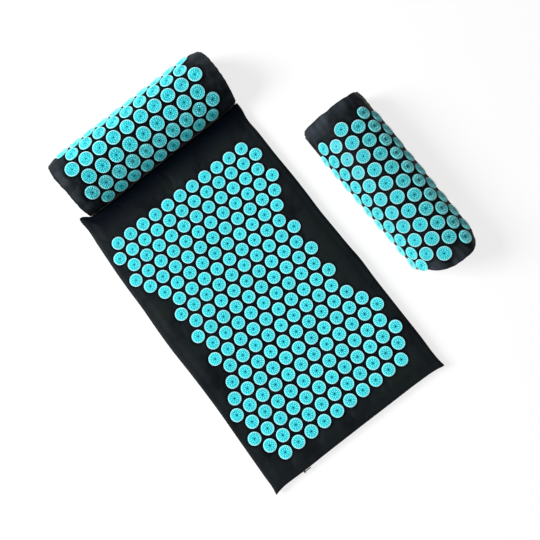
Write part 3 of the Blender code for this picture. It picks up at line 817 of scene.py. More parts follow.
@dataclass(frozen=True)
class SpikeDisc:
    """A moulded disc: a round plate with a raised rim, open at its centre, and 27 spikes in two rings.

    Rises are what the plastic's colour follows, one for each ring of the plate and of a spike: low rings take
    painted shade and high ones painted light. Waist is where a spike is slender: its share of the root's width and
    of the height. Tone is painted shade that darkens all the discs of a piece alike.
    """

    radius: float
    floor: float = 1.20 * MM
    rim: float = 1.85 * MM
    rim_width: float = 1.25 * MM
    hole: float = 1.70 * MM
    spike_height: float = 4.5 * MM
    spike_length: float = 2.30 * MM
    spike_width: float = 1.30 * MM
    plate_sides: int = 16
    spike_sides: int = 6
    ring_counts: tuple[int, ...] = (18, 9)
    ring_shares: tuple[float, ...] = (0.765, 0.450)
    edge_draft: float = 0.25 * MM
    floor_fillet: float = 0.45 * MM
    spike_root: float = 0.3 * MM
    waist: tuple[float, float] = (0.52, 0.36)
    lean: float = 0.18
    painted_shade_width: float = 7 * MM
    # Rises: low ones take painted shade in the plastic's colour, high ones painted light.
    plate_rises: tuple[float, ...] = (0.30, 0.90, 0.90, 0.32, 0.30, 0.0)
    spike_rises: tuple[float, ...] = (0.42, 0.66, 0.95)
    tone: float = 0.0

    def plate_shape(self) -> tuple[np.ndarray, list[np.ndarray], np.ndarray]:
        """Turned plate: upright edge, raised rim, flat floor and a hole down to the cloth, with each ring's rise."""
        inner = self.radius - self.rim_width
        profile = ((self.radius, 0.0), (self.radius - self.edge_draft, self.rim), (inner, self.rim),
                   (inner - self.floor_fillet, self.floor), (self.hole, self.floor), (self.hole, 0.0))
        points, faces = turned_shape(profile, self.plate_sides, open_axis=True)
        return points, faces, np.repeat(self.plate_rises, self.plate_sides)

    def spike_shape(self) -> tuple[np.ndarray, list[np.ndarray], np.ndarray]:
        """Turned spike, drawn out along X: a flared root, a slender shaft and a sharp tip, with each ring's rise."""
        width, height = self.waist
        profile = ((1.0, -self.spike_root), (width, self.spike_height * height), (0.0, self.spike_height))
        points, faces = turned_shape(profile, self.spike_sides)
        points = points * np.array([self.spike_length, self.spike_width, 1.0])
        return points, faces, np.append(np.repeat(self.spike_rises[:-1], self.spike_sides), self.spike_rises[-1])

    def spike_frames(self) -> np.ndarray:
        """Frames of the spikes on one disc, X outwards: rings half a step apart, leaning out a little."""
        frames = []
        for number, (count, share) in enumerate(zip(self.ring_counts, self.ring_shares)):
            angle = (np.arange(count) + 0.5 * (number % 2)) * math.tau / count
            outward = np.stack([np.cos(angle), np.sin(angle), np.zeros(count)], axis=-1)
            lean = unit(outward * (self.lean * share) + np.array([0.0, 0.0, 1.0]))
            foot = outward * (self.radius * share) + np.array([0.0, 0.0, self.floor])
            frames.append(frames_from(foot, lean, angle))
        return np.concatenate(frames)

    def painted_shade_at(self, away: np.ndarray) -> np.ndarray:
        """Painted shade of the cloth at a distance from a disc's centre: -1 out to its edge, then eased to 0."""
        return smoothstep((away - self.radius) / self.painted_shade_width) - 1.0

    def stand(self, name: str, node: str, frames: np.ndarray, seed: int) -> None:
        """Stand the discs at frames on the cloth, as a piece of plates and a piece of spikes.

        Args:
            name: The body, and the start of the pieces' names.
            node: The CAD node whose discs they stand for.
            frames: One frame for each disc, Z outwards.
            seed: Seed of the small differences from disc to disc.
        """
        # A random lot for each disc, plus the tone, which is painted shade.
        lots_and_painted_shade = np.random.default_rng(seed).uniform(0.0, 1.0, len(frames)) + self.tone
        points, faces, rise = self.plate_shape()
        plates = scattered(name + "_disc_plates", points, faces, frames,
                           {"rise": rise[None], "lot_and_painted_shade": lots_and_painted_shade[:, None]})
        on_one = self.spike_frames()
        everywhere = np.einsum("kij,sjl->ksil", frames, on_one).reshape(-1, 4, 4)
        points, faces, rise = self.spike_shape()
        spikes = scattered(name + "_disc_spikes", points, faces, everywhere,
                           {"rise": rise[None], "lot_and_painted_shade": np.repeat(lots_and_painted_shade, len(on_one))[:, None]})
        for piece in (plates, spikes):
            finish_piece(piece, FINISHES.plastic, name, [node])


def distances(places: np.ndarray, centres: np.ndarray) -> np.ndarray:
    """Distance on the cloth from each place to each disc centre."""
    return np.hypot(places[..., None, 0] - centres[:, 0], places[..., None, 1] - centres[:, 1])


def to_nearest(places: np.ndarray, centres: np.ndarray) -> np.ndarray:
    """Distance on the cloth from each place to the nearest disc centre."""
    return distances(places, centres).min(axis=-1)


def pressed_flat(points: np.ndarray, places: np.ndarray, centres: np.ndarray, frames: np.ndarray,
                 radius: float, spread: float) -> np.ndarray:
    """Press the cloth onto the planes of the discs over it, easing off beyond each disc's edge.

    Where several discs reach a point, it moves by the mean of their pushes, each weighted by how near it is.

    Args:
        points: Cloth points of shape rows, columns, 3.
        places: Their places on the unrolled cloth, of shape rows, columns, 2.
        centres: Disc centres on the unrolled cloth.
        frames: The discs' frames in space.
        radius: Disc radius.
        spread: Width of the cloth beyond the edge that still gives way.

    Returns:
        The pressed points.
    """
    flat, cloth = places.reshape(-1, 2), points.reshape(-1, 3)
    away = distances(flat, centres)
    near, disc = np.nonzero(away < radius + spread)
    weight = 1.0 - smoothstep((away[near, disc] - radius) / spread)
    normal = frames[disc, :3, 2]
    height = ((cloth[near] - frames[disc, :3, 3]) * normal).sum(axis=-1)
    push, total = np.zeros_like(cloth), np.zeros(len(cloth))
    np.add.at(push, near, normal * (weight * height)[:, None])
    np.add.at(total, near, weight)
    return (cloth - push / np.maximum(total, 1.0)[:, None]).reshape(points.shape)


# Zips


@dataclass(frozen=True)
class Zip:
    """A closed zip in its frame: X along it, Y outwards, Z up. Y is 0 on the outer face of its tapes."""

    name: str
    body: str
    length: float
    matrix: np.ndarray
    pitch: float = 1.5 * MM
    stop: float = 2.8 * MM
    tooth_tip: float = 0.50 * MM
    tooth_root: float = 2.30 * MM
    tooth_front: float = 0.60 * MM
    tooth_back: float = -1.20 * MM
    tooth_width_share: float = 0.46
    tooth_profile: tuple[tuple[float, float], ...] = ((0.80, 0.0), (0.62, 0.35), (0.95, 0.72), (0.60, 1.0))

    def tooth(self) -> tuple[np.ndarray, list[np.ndarray]]:
        """One tooth along Z: six-sided rings, oval across, wider at its head than at its neck."""
        depth = (self.tooth_front - self.tooth_back) / 2
        length = self.tooth_root - self.tooth_tip
        points, faces = turned_shape(self.tooth_profile, 6)
        return points * np.array([self.pitch * self.tooth_width_share, depth, length]), faces

    def teeth(self, side: Side) -> bpy.types.Object:
        """A row of teeth that point from the tape to the middle line, the two rows half a pitch apart."""
        half = self.length / 2 - self.stop - self.pitch / 2
        along = np.arange(-half, half, self.pitch) + (self.pitch / 2 if side is Side.HIGH else 0.0)
        origin = np.stack(np.broadcast_arrays(np.minimum(along, half), (self.tooth_front + self.tooth_back) / 2,
                                              side.value * self.tooth_root), axis=-1)
        frames = frames_of([side.value, 0.0, 0.0], [0.0, 1.0, 0.0], [0.0, 0.0, -side.value], origin)
        points, faces = self.tooth()
        frames = self.matrix[None] @ frames
        row = "upper" if side is Side.HIGH else "lower"
        return scattered(f"{self.name}_zip_{row}_coil", points, faces, frames)

    def dress(self) -> None:
        """Make both rows of teeth, and give the tapes, stops, slider and pull their finishes."""
        for side, row in ((Side.HIGH, "upper"), (Side.LOW, "lower")):
            finish_piece(self.teeth(side), FINISHES.nylon, self.body, [f"{self.name}_zip_{row}_teeth"])
        for part, finish in (("upper_tape", FINISHES.tape), ("lower_tape", FINISHES.tape),
                             ("closed_stop", FINISHES.nylon), ("open_stop", FINISHES.nylon),
                             ("slider", FINISHES.metal), ("pull", FINISHES.metal)):
            dress_node(f"{self.name}_zip_{part}", finish)


@dataclass(frozen=True)
class Stitch:
    """A loop of thread: how it is spaced, how long and how thick it is, and how far it stands out of the cloth."""

    pitch: float = 3.0 * MM
    length: float = 2.4 * MM
    half_thick: float = 0.28 * MM
    stand_share: float = 0.35
    profile: tuple[tuple[float, float], ...] = ((0.25, -0.5), (0.85, -0.30), (1.0, 0.0), (0.85, 0.30), (0.25, 0.5))

    def sew(self, name: str, body: str, path: np.ndarray, normal: np.ndarray) -> None:
        """Sew a row of stitches, a lens-shaped loop between each two neighbouring points of a path.

        Args:
            name: Name of the object.
            body: The body that it moves with.
            path: Points on the cloth, one pitch apart.
            normal: Unit normals of the cloth there.
        """
        points, faces = turned_shape(self.profile, 5)
        points = points * np.array([self.half_thick, self.half_thick, self.length])
        middle = (path[1:] + path[:-1]) / 2
        along = unit(path[1:] - path[:-1])
        up = (normal[1:] + normal[:-1]) / 2
        across = unit(np.cross(along, up))
        frames = frames_of(np.cross(across, along), across, along, middle + up * self.half_thick * self.stand_share)
        finish_piece(scattered(name, points, faces, frames), FINISHES.thread, body)


STITCH = Stitch()


# Mat


@dataclass
class Mat:
    """The mat: top and bottom cloth over a foam slab, 210 spike discs, and a zip in the foot end.

    The marks of its edges are measured on the photograph, in millimetres. Steps are grid spacings: of cloth that
    shows, of the study that settles it and of hidden faces. Give is how far beyond a disc the cloth bends to it.
    Painted shadow is how much darker the strip beside the pillow is painted, for the pillow's shadow.
    """

    width: float = 426 * MM
    length: float = 694 * MM
    thickness: float = 20 * MM
    shoulder: float = 10 * MM
    crown: float = 1.5 * MM
    cloth: float = 1.2 * MM
    seam_pinch: float = 0.7 * MM
    left_edge: tuple[tuple[float, float], ...] = (
        (-347, -216.0), (-334, -213.6), (-305, -212.8), (-225, -210.6), (-145, -208.3), (-65, -208.8), (15, -211.0),
        (60, -210.3), (115, -208.4), (155, -208.6), (195, -208.0), (275, -204.2), (318, -202.0), (338, -203.6),
        (352, -202.6))
    right_edge: tuple[tuple[float, float], ...] = (
        (-350, 212.4), (-335, 209.8), (-309, 209.2), (-288, 210.4), (-206, 212.2), (-124, 214.0), (-75, 216.2),
        (-40, 215.0), (0, 214.8), (50, 214.6), (102, 216.6), (143, 217.5), (205, 217.2), (266, 218.5), (307, 218.3),
        (327, 222.4), (348, 223.4))
    foot_edge: tuple[tuple[float, float], ...] = (
        (-212, -347.0), (-203, -344.6), (-190, -342.9), (-172, -342.9), (-150, -343.9), (-75, -344.7), (0, -345.8),
        (75, -347.2), (150, -348.8), (166, -349.4), (182, -350.4), (196, -352.2), (209, -355.2))
    head_edge: tuple[tuple[float, float], ...] = (
        (-206, 360.0), (-195, 359.6), (-187, 354.5), (-180, 348.6), (-173, 346.8), (-162, 346.6), (-60, 347.4),
        (60, 348.6), (180, 349.6), (200, 350.2), (211, 351.6), (223, 353.2))
    window_half: float = 151 * MM
    window_height: float = 9 * MM
    zip_length: float = 300 * MM
    tape_reach: float = 5.4 * MM
    zip_inset: float = 2 * MM
    fit_gap: float = 0.3 * MM
    cloth_step: float = 3.1 * MM
    study_step: float = 5.5 * MM
    hidden_step: float = 9 * MM
    shoulder_step: float = 2.4 * MM
    waviness: float = 0.45 * MM
    wavelength: float = 85 * MM
    pinch_power: int = 5
    side_power: int = 6
    end_power: int = 12
    seed: int = 21
    disc_tilt: float = 0.012
    give: float = 3.0 * MM
    seam_hold: float = 0.9
    seam_fade: float = 20 * MM
    painted_shadow: float = 1.1
    painted_shadow_strip: float = 14 * MM
    painted_shadow_ease: float = 60 * MM
    stitch_rise: float = 0.20
    stitch_margin: float = 2 * MM
    foam_gap: float = 0.8 * MM
    groove_depth: float = 10.5 * MM
    groove_reach: float = 22 * MM
    groove_margin: float = 14 * MM
    groove_ease: float = 5 * MM
    disc: SpikeDisc = SpikeDisc(radius=13.8 * MM)
    lattice: Lattice = Lattice((11, 12, 11, 12, 11, 10, 9, 10, 9, 10, 9, 10, 9, 10, 11, 12, 11, 12, 11, 10)[::-1],
                               33 * MM, 29 * MM, -15 * MM)
    study: ClothStudy = ClothStudy()

    def shoulder_stations(self, step: float, breaks: Sequence[float] = ()) -> np.ndarray:
        """Distances from the edge across the rounded shoulder, even in angle; breaks are sines of an angle."""
        angles = [0.0, *(math.asin(value) for value in breaks), math.pi / 2]
        return self.shoulder * (1.0 - np.cos(stations(angles, min(step, self.shoulder_step) / self.shoulder)))

    def column_stations(self, step: float) -> np.ndarray:
        """Distances from the left edge, through both shoulders and both ends of the zip window."""
        edge = self.shoulder_stations(step)
        middle = self.width / 2
        inside = stations([self.shoulder, middle - self.window_half, middle + self.window_half,
                           self.width - self.shoulder], step)
        return np.concatenate([edge[:-1], inside, (self.width - edge[::-1])[1:]])

    def row_stations(self, step: float) -> np.ndarray:
        """Distances from the foot edge, through both shoulders and the edge of the zip window."""
        window = self.window_height / self.thickness
        foot, head = self.shoulder_stations(step, [window]), self.shoulder_stations(step)
        inside = stations([self.shoulder, self.length - self.shoulder], step)
        return np.concatenate([foot[:-1], inside, (self.length - head[::-1])[1:]])

    def grid_stations(self, step: float) -> tuple[np.ndarray, np.ndarray]:
        """Column and row stations of a grid over the mat."""
        return self.column_stations(step), self.row_stations(step)

    def plan(self, columns: np.ndarray, rows: np.ndarray) -> tuple[np.ndarray, np.ndarray]:
        """Places on the floor: between the left and right edges in x, and the foot and head edges in y.

        Each edge is a smooth curve through measured marks, with small ears at the corners.

        Args:
            columns: Distances from the left edge of the unskewed mat.
            rows: Distances from its foot edge.

        Returns:
            X and Y, each of shape rows, columns.
        """
        u = (columns / self.width)[None, :]
        v = (rows / self.length)[:, None]
        across, along = (u - 0.5) * self.width, (v - 0.5) * self.length
        x = curve_through(along, self.left_edge) * (1 - u) + curve_through(along, self.right_edge) * u
        y = curve_through(across, self.foot_edge) * (1 - v) + curve_through(x, self.head_edge) * v
        return x, y

    def rise(self, distance: np.ndarray, length: float) -> np.ndarray:
        """Height share of a rounded edge: the sine of the angle reached at a distance from the nearer edge."""
        near = np.minimum(np.minimum(distance, length - distance), self.shoulder)
        return np.sqrt(np.maximum(0.0, 1.0 - (1.0 - near / self.shoulder) ** 2))

    def cover(self, columns: np.ndarray, rows: np.ndarray, side: Side, inset: float = 0.0) -> np.ndarray:
        """Outer face of the top or bottom cloth.

        The height is that of the seam plus half the thickness times the product of both edges' height shares.
        The top adds a low crown and soft unevenness, and both are pinched in at the seam.

        Args:
            columns: Column stations.
            rows: Row stations.
            side: HIGH for the top, LOW for the bottom.
            inset: Distance inside the cloth's outer face.

        Returns:
            Points of shape rows, columns, 3.
        """
        x, y = self.plan(columns, rows)
        share = self.rise(columns, self.width)[None, :] * self.rise(rows, self.length)[:, None]
        half = self.thickness / 2
        height = half + side.value * (half - inset) * share
        if side is Side.HIGH:
            u = (2.0 * columns / self.width - 1.0)[None, :]
            v = (2.0 * rows / self.length - 1.0)[:, None]
            height = height + self.crown * np.maximum((1 - u * u) * (1 - v * v), 0.0) * share
            height = height + self.waviness * share * undulation(x, y, self.wavelength, self.seed)
        pinch = self.seam_pinch * (1.0 - share) ** self.pinch_power + inset
        x = x - np.sign(x) * pinch * (np.abs(x) / (self.width / 2)) ** self.side_power
        y = y - np.sign(y) * pinch * (np.abs(y) / (self.length / 2)) ** self.end_power
        return np.stack([x, y, height], axis=-1)

    def disc_frames(self, columns: np.ndarray, rows: np.ndarray) -> np.ndarray:
        """Frames of the discs: level, at the height of the cloth at their centres, turned at random."""
        centres = self.lattice.centres()
        cloth = self.cover(columns, rows, Side.HIGH).reshape(-1, 3)
        height = cloth[distances(cloth, centres).argmin(axis=0), 2]
        random = np.random.default_rng(self.seed + 10)
        tilt = random.normal(0.0, self.disc_tilt, (len(centres), 2))
        normal = unit(np.concatenate([tilt, np.ones((len(centres), 1))], axis=-1))
        origin = np.concatenate([centres, height[:, None]], axis=-1)
        return frames_from(origin, normal, random.uniform(0.0, math.tau, len(centres)))

    def settled(self, columns: np.ndarray, rows: np.ndarray) -> np.ndarray:
        """How far the top cloth moves when the closed cover settles, on the given grid; its sewn edge stays."""
        coarse_columns, coarse_rows = self.grid_stations(self.study_step)
        top = self.cover(coarse_columns, coarse_rows, Side.HIGH)
        bottom = self.cover(coarse_columns, coarse_rows, Side.LOW)
        count = top.shape[0] * top.shape[1]
        numbers = np.arange(count).reshape(top.shape[:2])
        sewn = np.ones(top.shape[:2], dtype=bool)
        sewn[1:-1, 1:-1] = False
        below = np.where(sewn, numbers, numbers + count)
        cells = grid_quads(*top.shape[:2])
        faces = [cells.reshape(-1, 4), below.ravel()[cells].reshape(-1, 4)[:, ::-1]]
        away = to_nearest(top, self.lattice.centres())
        held = np.concatenate([(away < self.disc.radius).ravel() * 1.0, np.ones(count)])
        held[numbers[sewn]] = self.seam_hold
        used = np.unique(np.concatenate([block.ravel() for block in faces]))
        renumber = np.full(2 * count, -1)
        renumber[used] = np.arange(len(used))
        points = np.concatenate([top.reshape(-1, 3), bottom.reshape(-1, 3)])
        moves = np.zeros((2 * count, 3))
        moves[used] = self.study.settle(points[used], [renumber[block] for block in faces], held[used])
        coarse = moves[:count].reshape(top.shape)
        inside = np.minimum(columns, self.width - columns)[None, :], np.minimum(rows, self.length - rows)[:, None]
        fade = smoothstep((np.minimum(*inside) - self.shoulder) / self.seam_fade)[..., None]
        return resample(coarse, coarse_rows, coarse_columns, rows, columns) * fade

    def window(self, columns: np.ndarray, rows: np.ndarray) -> np.ndarray:
        """Which cells are cloth: all but those of the zip window at the foot edge."""
        across = np.abs((columns[1:] + columns[:-1]) / 2 - self.width / 2)[None, :] < self.window_half
        edge = self.shoulder * (1.0 - math.cos(math.asin(self.window_height / self.thickness)))
        low = ((rows[1:] + rows[:-1]) / 2)[:, None] < edge
        return ~(across & low)

    def build_cloth(self) -> np.ndarray:
        """Make both cloths and the stitches along the zip. Returns the discs' frames."""
        columns, rows = self.grid_stations(self.cloth_step)
        frames = self.disc_frames(columns, rows)
        top = self.cover(columns, rows, Side.HIGH)
        loose = top + self.settled(columns, rows)
        centres = self.lattice.centres()
        outer = pressed_flat(loose, top[..., :2], centres, frames, self.disc.radius, self.give)
        inner = outer - self.cloth * normals_of(outer)
        # Painted shadow of the pillow on the strip beside it, and painted shade round the discs.
        from_pillow = smoothstep((self.length - rows - self.painted_shadow_strip) / self.painted_shadow_ease)
        painted_shading = np.minimum(self.disc.painted_shade_at(to_nearest(top, centres)),
                          (self.painted_shadow * from_pillow - self.painted_shadow)[:, None])
        shell = cloth_shell("mat_top_cloth", outer, inner, grid_of(columns, rows), self.window(columns, rows),
                            painted_light_and_shade=painted_shading)
        finish_piece(shell, FINISHES.cotton, "mat", ["mat_top_panel"])
        self.build_bottom()
        for side, label in ((Side.HIGH, "upper"), (Side.LOW, "lower")):
            self.build_stitches(side, label)
        return frames

    def build_bottom(self) -> None:
        """Make the bottom cloth, flat on the floor, and its rounded rim."""
        columns, rows = self.grid_stations(self.hidden_step)
        outer = self.cover(columns, rows, Side.LOW)
        inner = outer + self.cloth * normals_of(outer)
        shell = cloth_shell("mat_bottom_cloth", outer, inner, grid_of(columns, rows), self.window(columns, rows))
        finish_piece(shell, FINISHES.cotton, "mat", ["mat_bottom_panel"])

    def build_stitches(self, side: Side, label: str) -> None:
        """Make the line of stitches that holds one tape, at a share of the thickness beyond the window's edge."""
        rise = self.window_height / self.thickness + self.stitch_rise
        row = self.shoulder * (1.0 - math.cos(math.asin(rise)))
        half = self.window_half + self.stitch_margin
        columns = stations([self.width / 2 - half, self.width / 2 + half], STITCH.pitch)
        strip = self.cover(columns, np.array([row, row + 0.1 * MM]), side)
        STITCH.sew(f"mat_zip_{label}_stitches", "mat", strip[0], normals_of(strip)[0] * side.value)

    def build_foam(self) -> None:
        """Make the foam slab that fills the cover, cut back behind the zip."""
        inset = self.cloth + self.foam_gap
        columns, rows = self.grid_stations(self.hidden_step)
        skins = np.stack([self.cover(columns, rows, side, inset) for side in (Side.HIGH, Side.LOW)])
        groove = smoothstep((self.window_half + self.groove_margin - np.abs(skins[0, 0, :, 0])) / self.groove_ease)
        skins[..., 1] += self.groove_depth * groove[None, :] * smoothstep(1.0 - rows / self.groove_reach)[:, None]
        cells = grid_quads(len(rows), len(columns)).reshape(-1, 4)
        slab = make_object("mat_foam_slab", skins.reshape(-1, 3), [cells, cells[:, ::-1] + len(rows) * len(columns)])
        finish_piece(slab, FINISHES.foam, "mat", ["mat_foam_core"])

    def build(self) -> None:
        """Make and dress every piece of the mat."""
        frames = self.build_cloth()
        self.build_foam()
        self.disc.stand("mat", "mat_top_panel", frames, self.seed + 20)
        half = self.thickness / 2
        hollow = half - self.cloth
        wall = math.sqrt(1.0 - (self.tape_reach / hollow) ** 2)
        depth = self.shoulder - hollow * wall + self.fit_gap
        place = Matrix.Translation((0.0, -self.length / 2 + self.zip_inset + depth, half))
        Zip("mat", "mat", self.zip_length, np.array(place @ Matrix.Rotation(math.pi, 4, "Z"))).dress()


# Pillows


@dataclass(frozen=True)
class EndForm:
    """Where the seam at one end lies, as lengths along the axis beyond the plain cut."""

    crest: float
    front: float
    rear: float
    power: float = 2.5

    def offset(self, angle: np.ndarray) -> np.ndarray:
        """Offset at an angle from the crest: crest, and towards each foot its own, by a power of the sine."""
        side = np.sin(np.clip(angle, -math.pi / 2, math.pi / 2))
        foot = np.where(side < 0, self.front, self.rear)
        return self.crest + (foot - self.crest) * np.abs(side) ** self.power


@dataclass
class Pillow:
    """A half-round pillow: cover, two end panels, base and foam, 66 spike discs, and a zip in the rear wall.

    Steps are grid spacings, as in the mat. Angles are from the crest: the front is flattened about one, and the
    low bulge and the end of the taper start at two more. Powers shape how the cloth is drawn towards an end and
    how the end domes. Disc lean is the share of the surface's own angle that the discs take. End nest keeps the
    inside of an end panel within its outside.
    """

    name: str
    x: float
    y: float
    turn: float
    seed: int
    left_end: EndForm
    right_end: EndForm
    flat_front: float = 0.0
    taper: float = 0.0
    length: float = 386 * MM
    radius: float = 70 * MM
    centre_height: float = 20 * MM
    end_draw: float = 3.0 * MM
    draw_width: float = 17 * MM
    end_dome: float = 4.5 * MM
    end_reach: float = 42 * MM
    low_bulge: float = 0.4 * MM
    disc_lean: float = 0.94
    cloth: float = 1.2 * MM
    fit_gap: float = 0.3 * MM
    window_half: float = 141 * MM
    window_height: float = 9 * MM
    zip_height: float = 9.5 * MM
    zip_length: float = 280 * MM
    tape_reach: float = 5.4 * MM
    cloth_step: float = 3.0 * MM
    study_step: float = 6.0 * MM
    hidden_step: float = 9 * MM
    base_points: int = 24
    middle_share: float = 0.42
    draw_power: float = 1.6
    reach_power: float = 1.7
    front_angle: float = 0.80
    front_width: float = 0.50
    bulge_angle: float = 1.40
    straight_angle: float = 1.30
    ease_angle: float = 0.30
    dome_power: float = 3.2
    wrinkle_fade: float = 9.0
    tuck_reach: float = 30 * MM
    fine_tucks: Ripple = Ripple(0.45 * MM, 14 * MM, 3, 7)
    broad_tucks: Ripple = Ripple(1.1 * MM, 34 * MM, 4, 7)
    softness: Ripple = Ripple(0.35 * MM, 70 * MM, 1)
    seam_wander: Ripple = Ripple(0.7 * MM, 17 * MM, 2)
    wrinkles: Ripple = Ripple(1.1 * MM, 24 * MM, 5, 8)
    painted_light_tucks: Ripple = Ripple(0.5, 22 * MM, 4, 7)
    painted_light_reach: float = 42 * MM
    painted_shadow_strip: float = 14 * MM
    painted_shadow_ease: float = 12 * MM
    disc_sink: float = 0.7 * MM
    disc_tilt: float = 0.015
    give: float = 5.0 * MM
    seam_hold: float = 0.8
    seam_fade: float = 20 * MM
    end_fade: float = 0.25
    study_shares: tuple[float, ...] = (1.0, 0.93, 0.82, 0.68, 0.52, 0.35, 0.18, 0.06)
    stitch_margin: float = 2 * MM
    low_stitch_margin: float = 1.6 * MM
    end_lift: float = 0.4 * MM
    end_nest: float = 0.999
    base_inset: float = 1 * MM
    base_side_inset: float = 0.4 * MM
    base_steps: tuple[float, float] = (12 * MM, 8 * MM)
    base_lift: float = 0.25 * MM
    base_lift_width: float = 10 * MM
    foam_gap: float = 0.9 * MM
    foam_share: float = 0.985
    foam_lift: float = 1.6 * MM
    foam_ring: tuple[float, float] = (0.55, 0.45)
    groove_depth: float = 4.5 * MM
    groove_margin: float = 6 * MM
    groove_ease: float = 4 * MM
    groove_half: float = 9 * MM
    groove_edge: float = 3 * MM
    disc: SpikeDisc = SpikeDisc(radius=15.1 * MM)
    lattice: Lattice = Lattice((9, 10, 9, 10, 9, 10, 9), 35 * MM, 31 * MM)
    study: ClothStudy = ClothStudy(cap=2.0 * MM)

    def matrix(self) -> np.ndarray:
        """The pillow's place on the floor."""
        return np.array(Matrix.Translation((self.x, self.y, 0.0)) @ Matrix.Rotation(self.turn, 4, "Z"))

    def angle_at(self, height: float) -> float:
        """Angle from the crest at which the round section comes down to a height."""
        return math.acos((height - self.centre_height) / self.radius)

    @property
    def end_middle(self) -> float:
        """Height of the middle of an end panel."""
        return (self.centre_height + self.radius) * self.middle_share

    @property
    def base_angle(self) -> float:
        """Angle from the crest to the lower edge of the cover."""
        return self.angle_at(self.cloth + self.fit_gap)

    @property
    def zip_angle(self) -> float:
        """Angle from the crest to the middle of the zip."""
        return self.angle_at(self.zip_height)

    def cover_stations(self, step: float) -> tuple[np.ndarray, np.ndarray]:
        """Stations along the pillow, and arcs from the front edge over the crest to the rear edge."""
        half = self.length / 2
        along = stations([-half, self.draw_width - half, -self.window_half, self.window_half,
                          half - self.draw_width, half], step)
        edge = self.base_angle * self.radius
        middle = self.zip_angle * self.radius
        arcs = stations([-edge, middle - self.window_height / 2, middle + self.window_height / 2, edge], step)
        return along, arcs

    def gathers(self, along: np.ndarray, arc: np.ndarray) -> np.ndarray:
        """Tucks where the cover is sewn to its ends: ripples along the seam that widen and die out inwards."""
        into = np.clip(1.0 - (self.length / 2 - np.abs(along)) / self.tuck_reach, 0.0, 1.0)
        end = np.sign(along) * 0.4
        fine = self.fine_tucks.at(arc, end + arc * 0.0, self.seed)
        broad = self.broad_tucks.at(arc, end + along * 0.4, self.seed)
        return fine * into ** 4 + broad * into ** 1.5

    def surface(self, along: np.ndarray, arc: np.ndarray, inset: float = 0.0) -> np.ndarray:
        """The round cover: a reach from the section's centre, at an angle of arc over radius from the crest.

        The reach is the radius less the draw near the ends and a flattened front shoulder, plus a bulge above
        the base, the tucks and a soft unevenness. It may taper from end to end, but not where the zip lies. Near
        each end the cloth is drawn along the axis to its seam.

        Args:
            along: Place along the axis.
            arc: Length along the section from the crest, of the same shape.
            inset: Distance inside the cloth's outer face.

        Returns:
            Points with x along the axis, y to the rear and z up.
        """
        half = self.length / 2
        angle = arc / self.radius
        into = np.maximum(0.0, np.abs(along) - (half - self.draw_width)) / self.draw_width
        reach = self.radius - inset - self.end_draw * into ** self.draw_power + self.gathers(along, arc)
        reach = reach - self.flat_front * np.exp(-((angle + self.front_angle) / self.front_width) ** 2)
        reach = reach + self.low_bulge * smoothstep((np.abs(angle) - self.bulge_angle) / self.ease_angle)
        straight = smoothstep((angle - self.straight_angle) / self.ease_angle)
        reach = reach - self.taper * along / half * (1.0 - straight)
        reach = reach + self.softness.at(along, arc, self.seed)
        height = self.centre_height + reach * np.cos(angle)
        seam = self.seam_wander.at(arc, np.sign(along) * 0.2 + arc * 0.0, self.seed)
        offset = np.where(along < 0, self.left_end.offset(angle), self.right_end.offset(angle)) + seam
        near = np.clip(1.0 - (half - np.abs(along)) / self.end_reach, 0.0, 1.0) ** self.reach_power
        return np.stack([along + np.sign(along) * offset * near, reach * np.sin(angle), height], axis=-1)

    def disc_frames(self) -> np.ndarray:
        """Frames of the discs on the bare round cover, each close to the tangent plane at its centre."""
        centres = self.lattice.centres()
        origin = self.surface(centres[:, 0], centres[:, 1], self.disc_sink)
        angle = centres[:, 1] / self.radius * self.disc_lean
        normal = np.stack([np.zeros(len(angle)), np.sin(angle), np.cos(angle)], axis=-1)
        random = np.random.default_rng(self.seed + 7)
        tilt = random.normal(0.0, self.disc_tilt, (len(angle), 1)) * np.array([1.0, 0.0, 0.0])
        return frames_from(origin, unit(normal + tilt), random.uniform(0.0, math.tau, len(angle)))

    def closed(self, arch: np.ndarray) -> np.ndarray:
        """Sections closed by their straight base, from the last point of each arc back to its first."""
        share = np.linspace(0.0, 1.0, self.base_points + 1)[1:, None]
        base = arch[..., -1:, :] * (1.0 - share) + arch[..., :1, :] * share
        return np.concatenate([arch, base], axis=-2)

    def end_panel(self, side: Side, arcs: np.ndarray, shares: np.ndarray, inset: float = 0.0) -> np.ndarray:
        """A domed end: the seam's section shrunk towards its middle by each share.

        It bulges by the dome times one less a power of the share. Radial wrinkles fade from the seam inwards.

        Args:
            side: Which end.
            arcs: Arcs of the section.
            shares: Falling shares from 1 at the seam to 0 at the pole.
            inset: Distance inside the cloth's outer face.

        Returns:
            Points of shape shares, section, 3.
        """
        section = self.closed(self.surface(np.full(len(arcs), side.value * self.length / 2), arcs))
        middle = np.array([section[:, 0].mean(), 0.0, self.end_middle])
        rays = section - middle
        angle = np.arctan2(rays[:, 2], rays[:, 1])
        share = shares[:, None]
        wrinkle = self.wrinkles.at(angle * 0.05, angle * 0.0 + side.value * 0.3, self.seed)[None, :]
        fade = np.clip(share, 0.0, 1.0) ** 2 * np.clip((1.0 - share) * self.wrinkle_fade, 0.0, 1.0)
        bulge = self.end_dome * (1.0 - share ** self.dome_power) + wrinkle * fade
        points = middle + rays[None] * share[..., None]
        points[..., 0] += side.value * (bulge + self.fit_gap + self.cloth - inset)
        return points

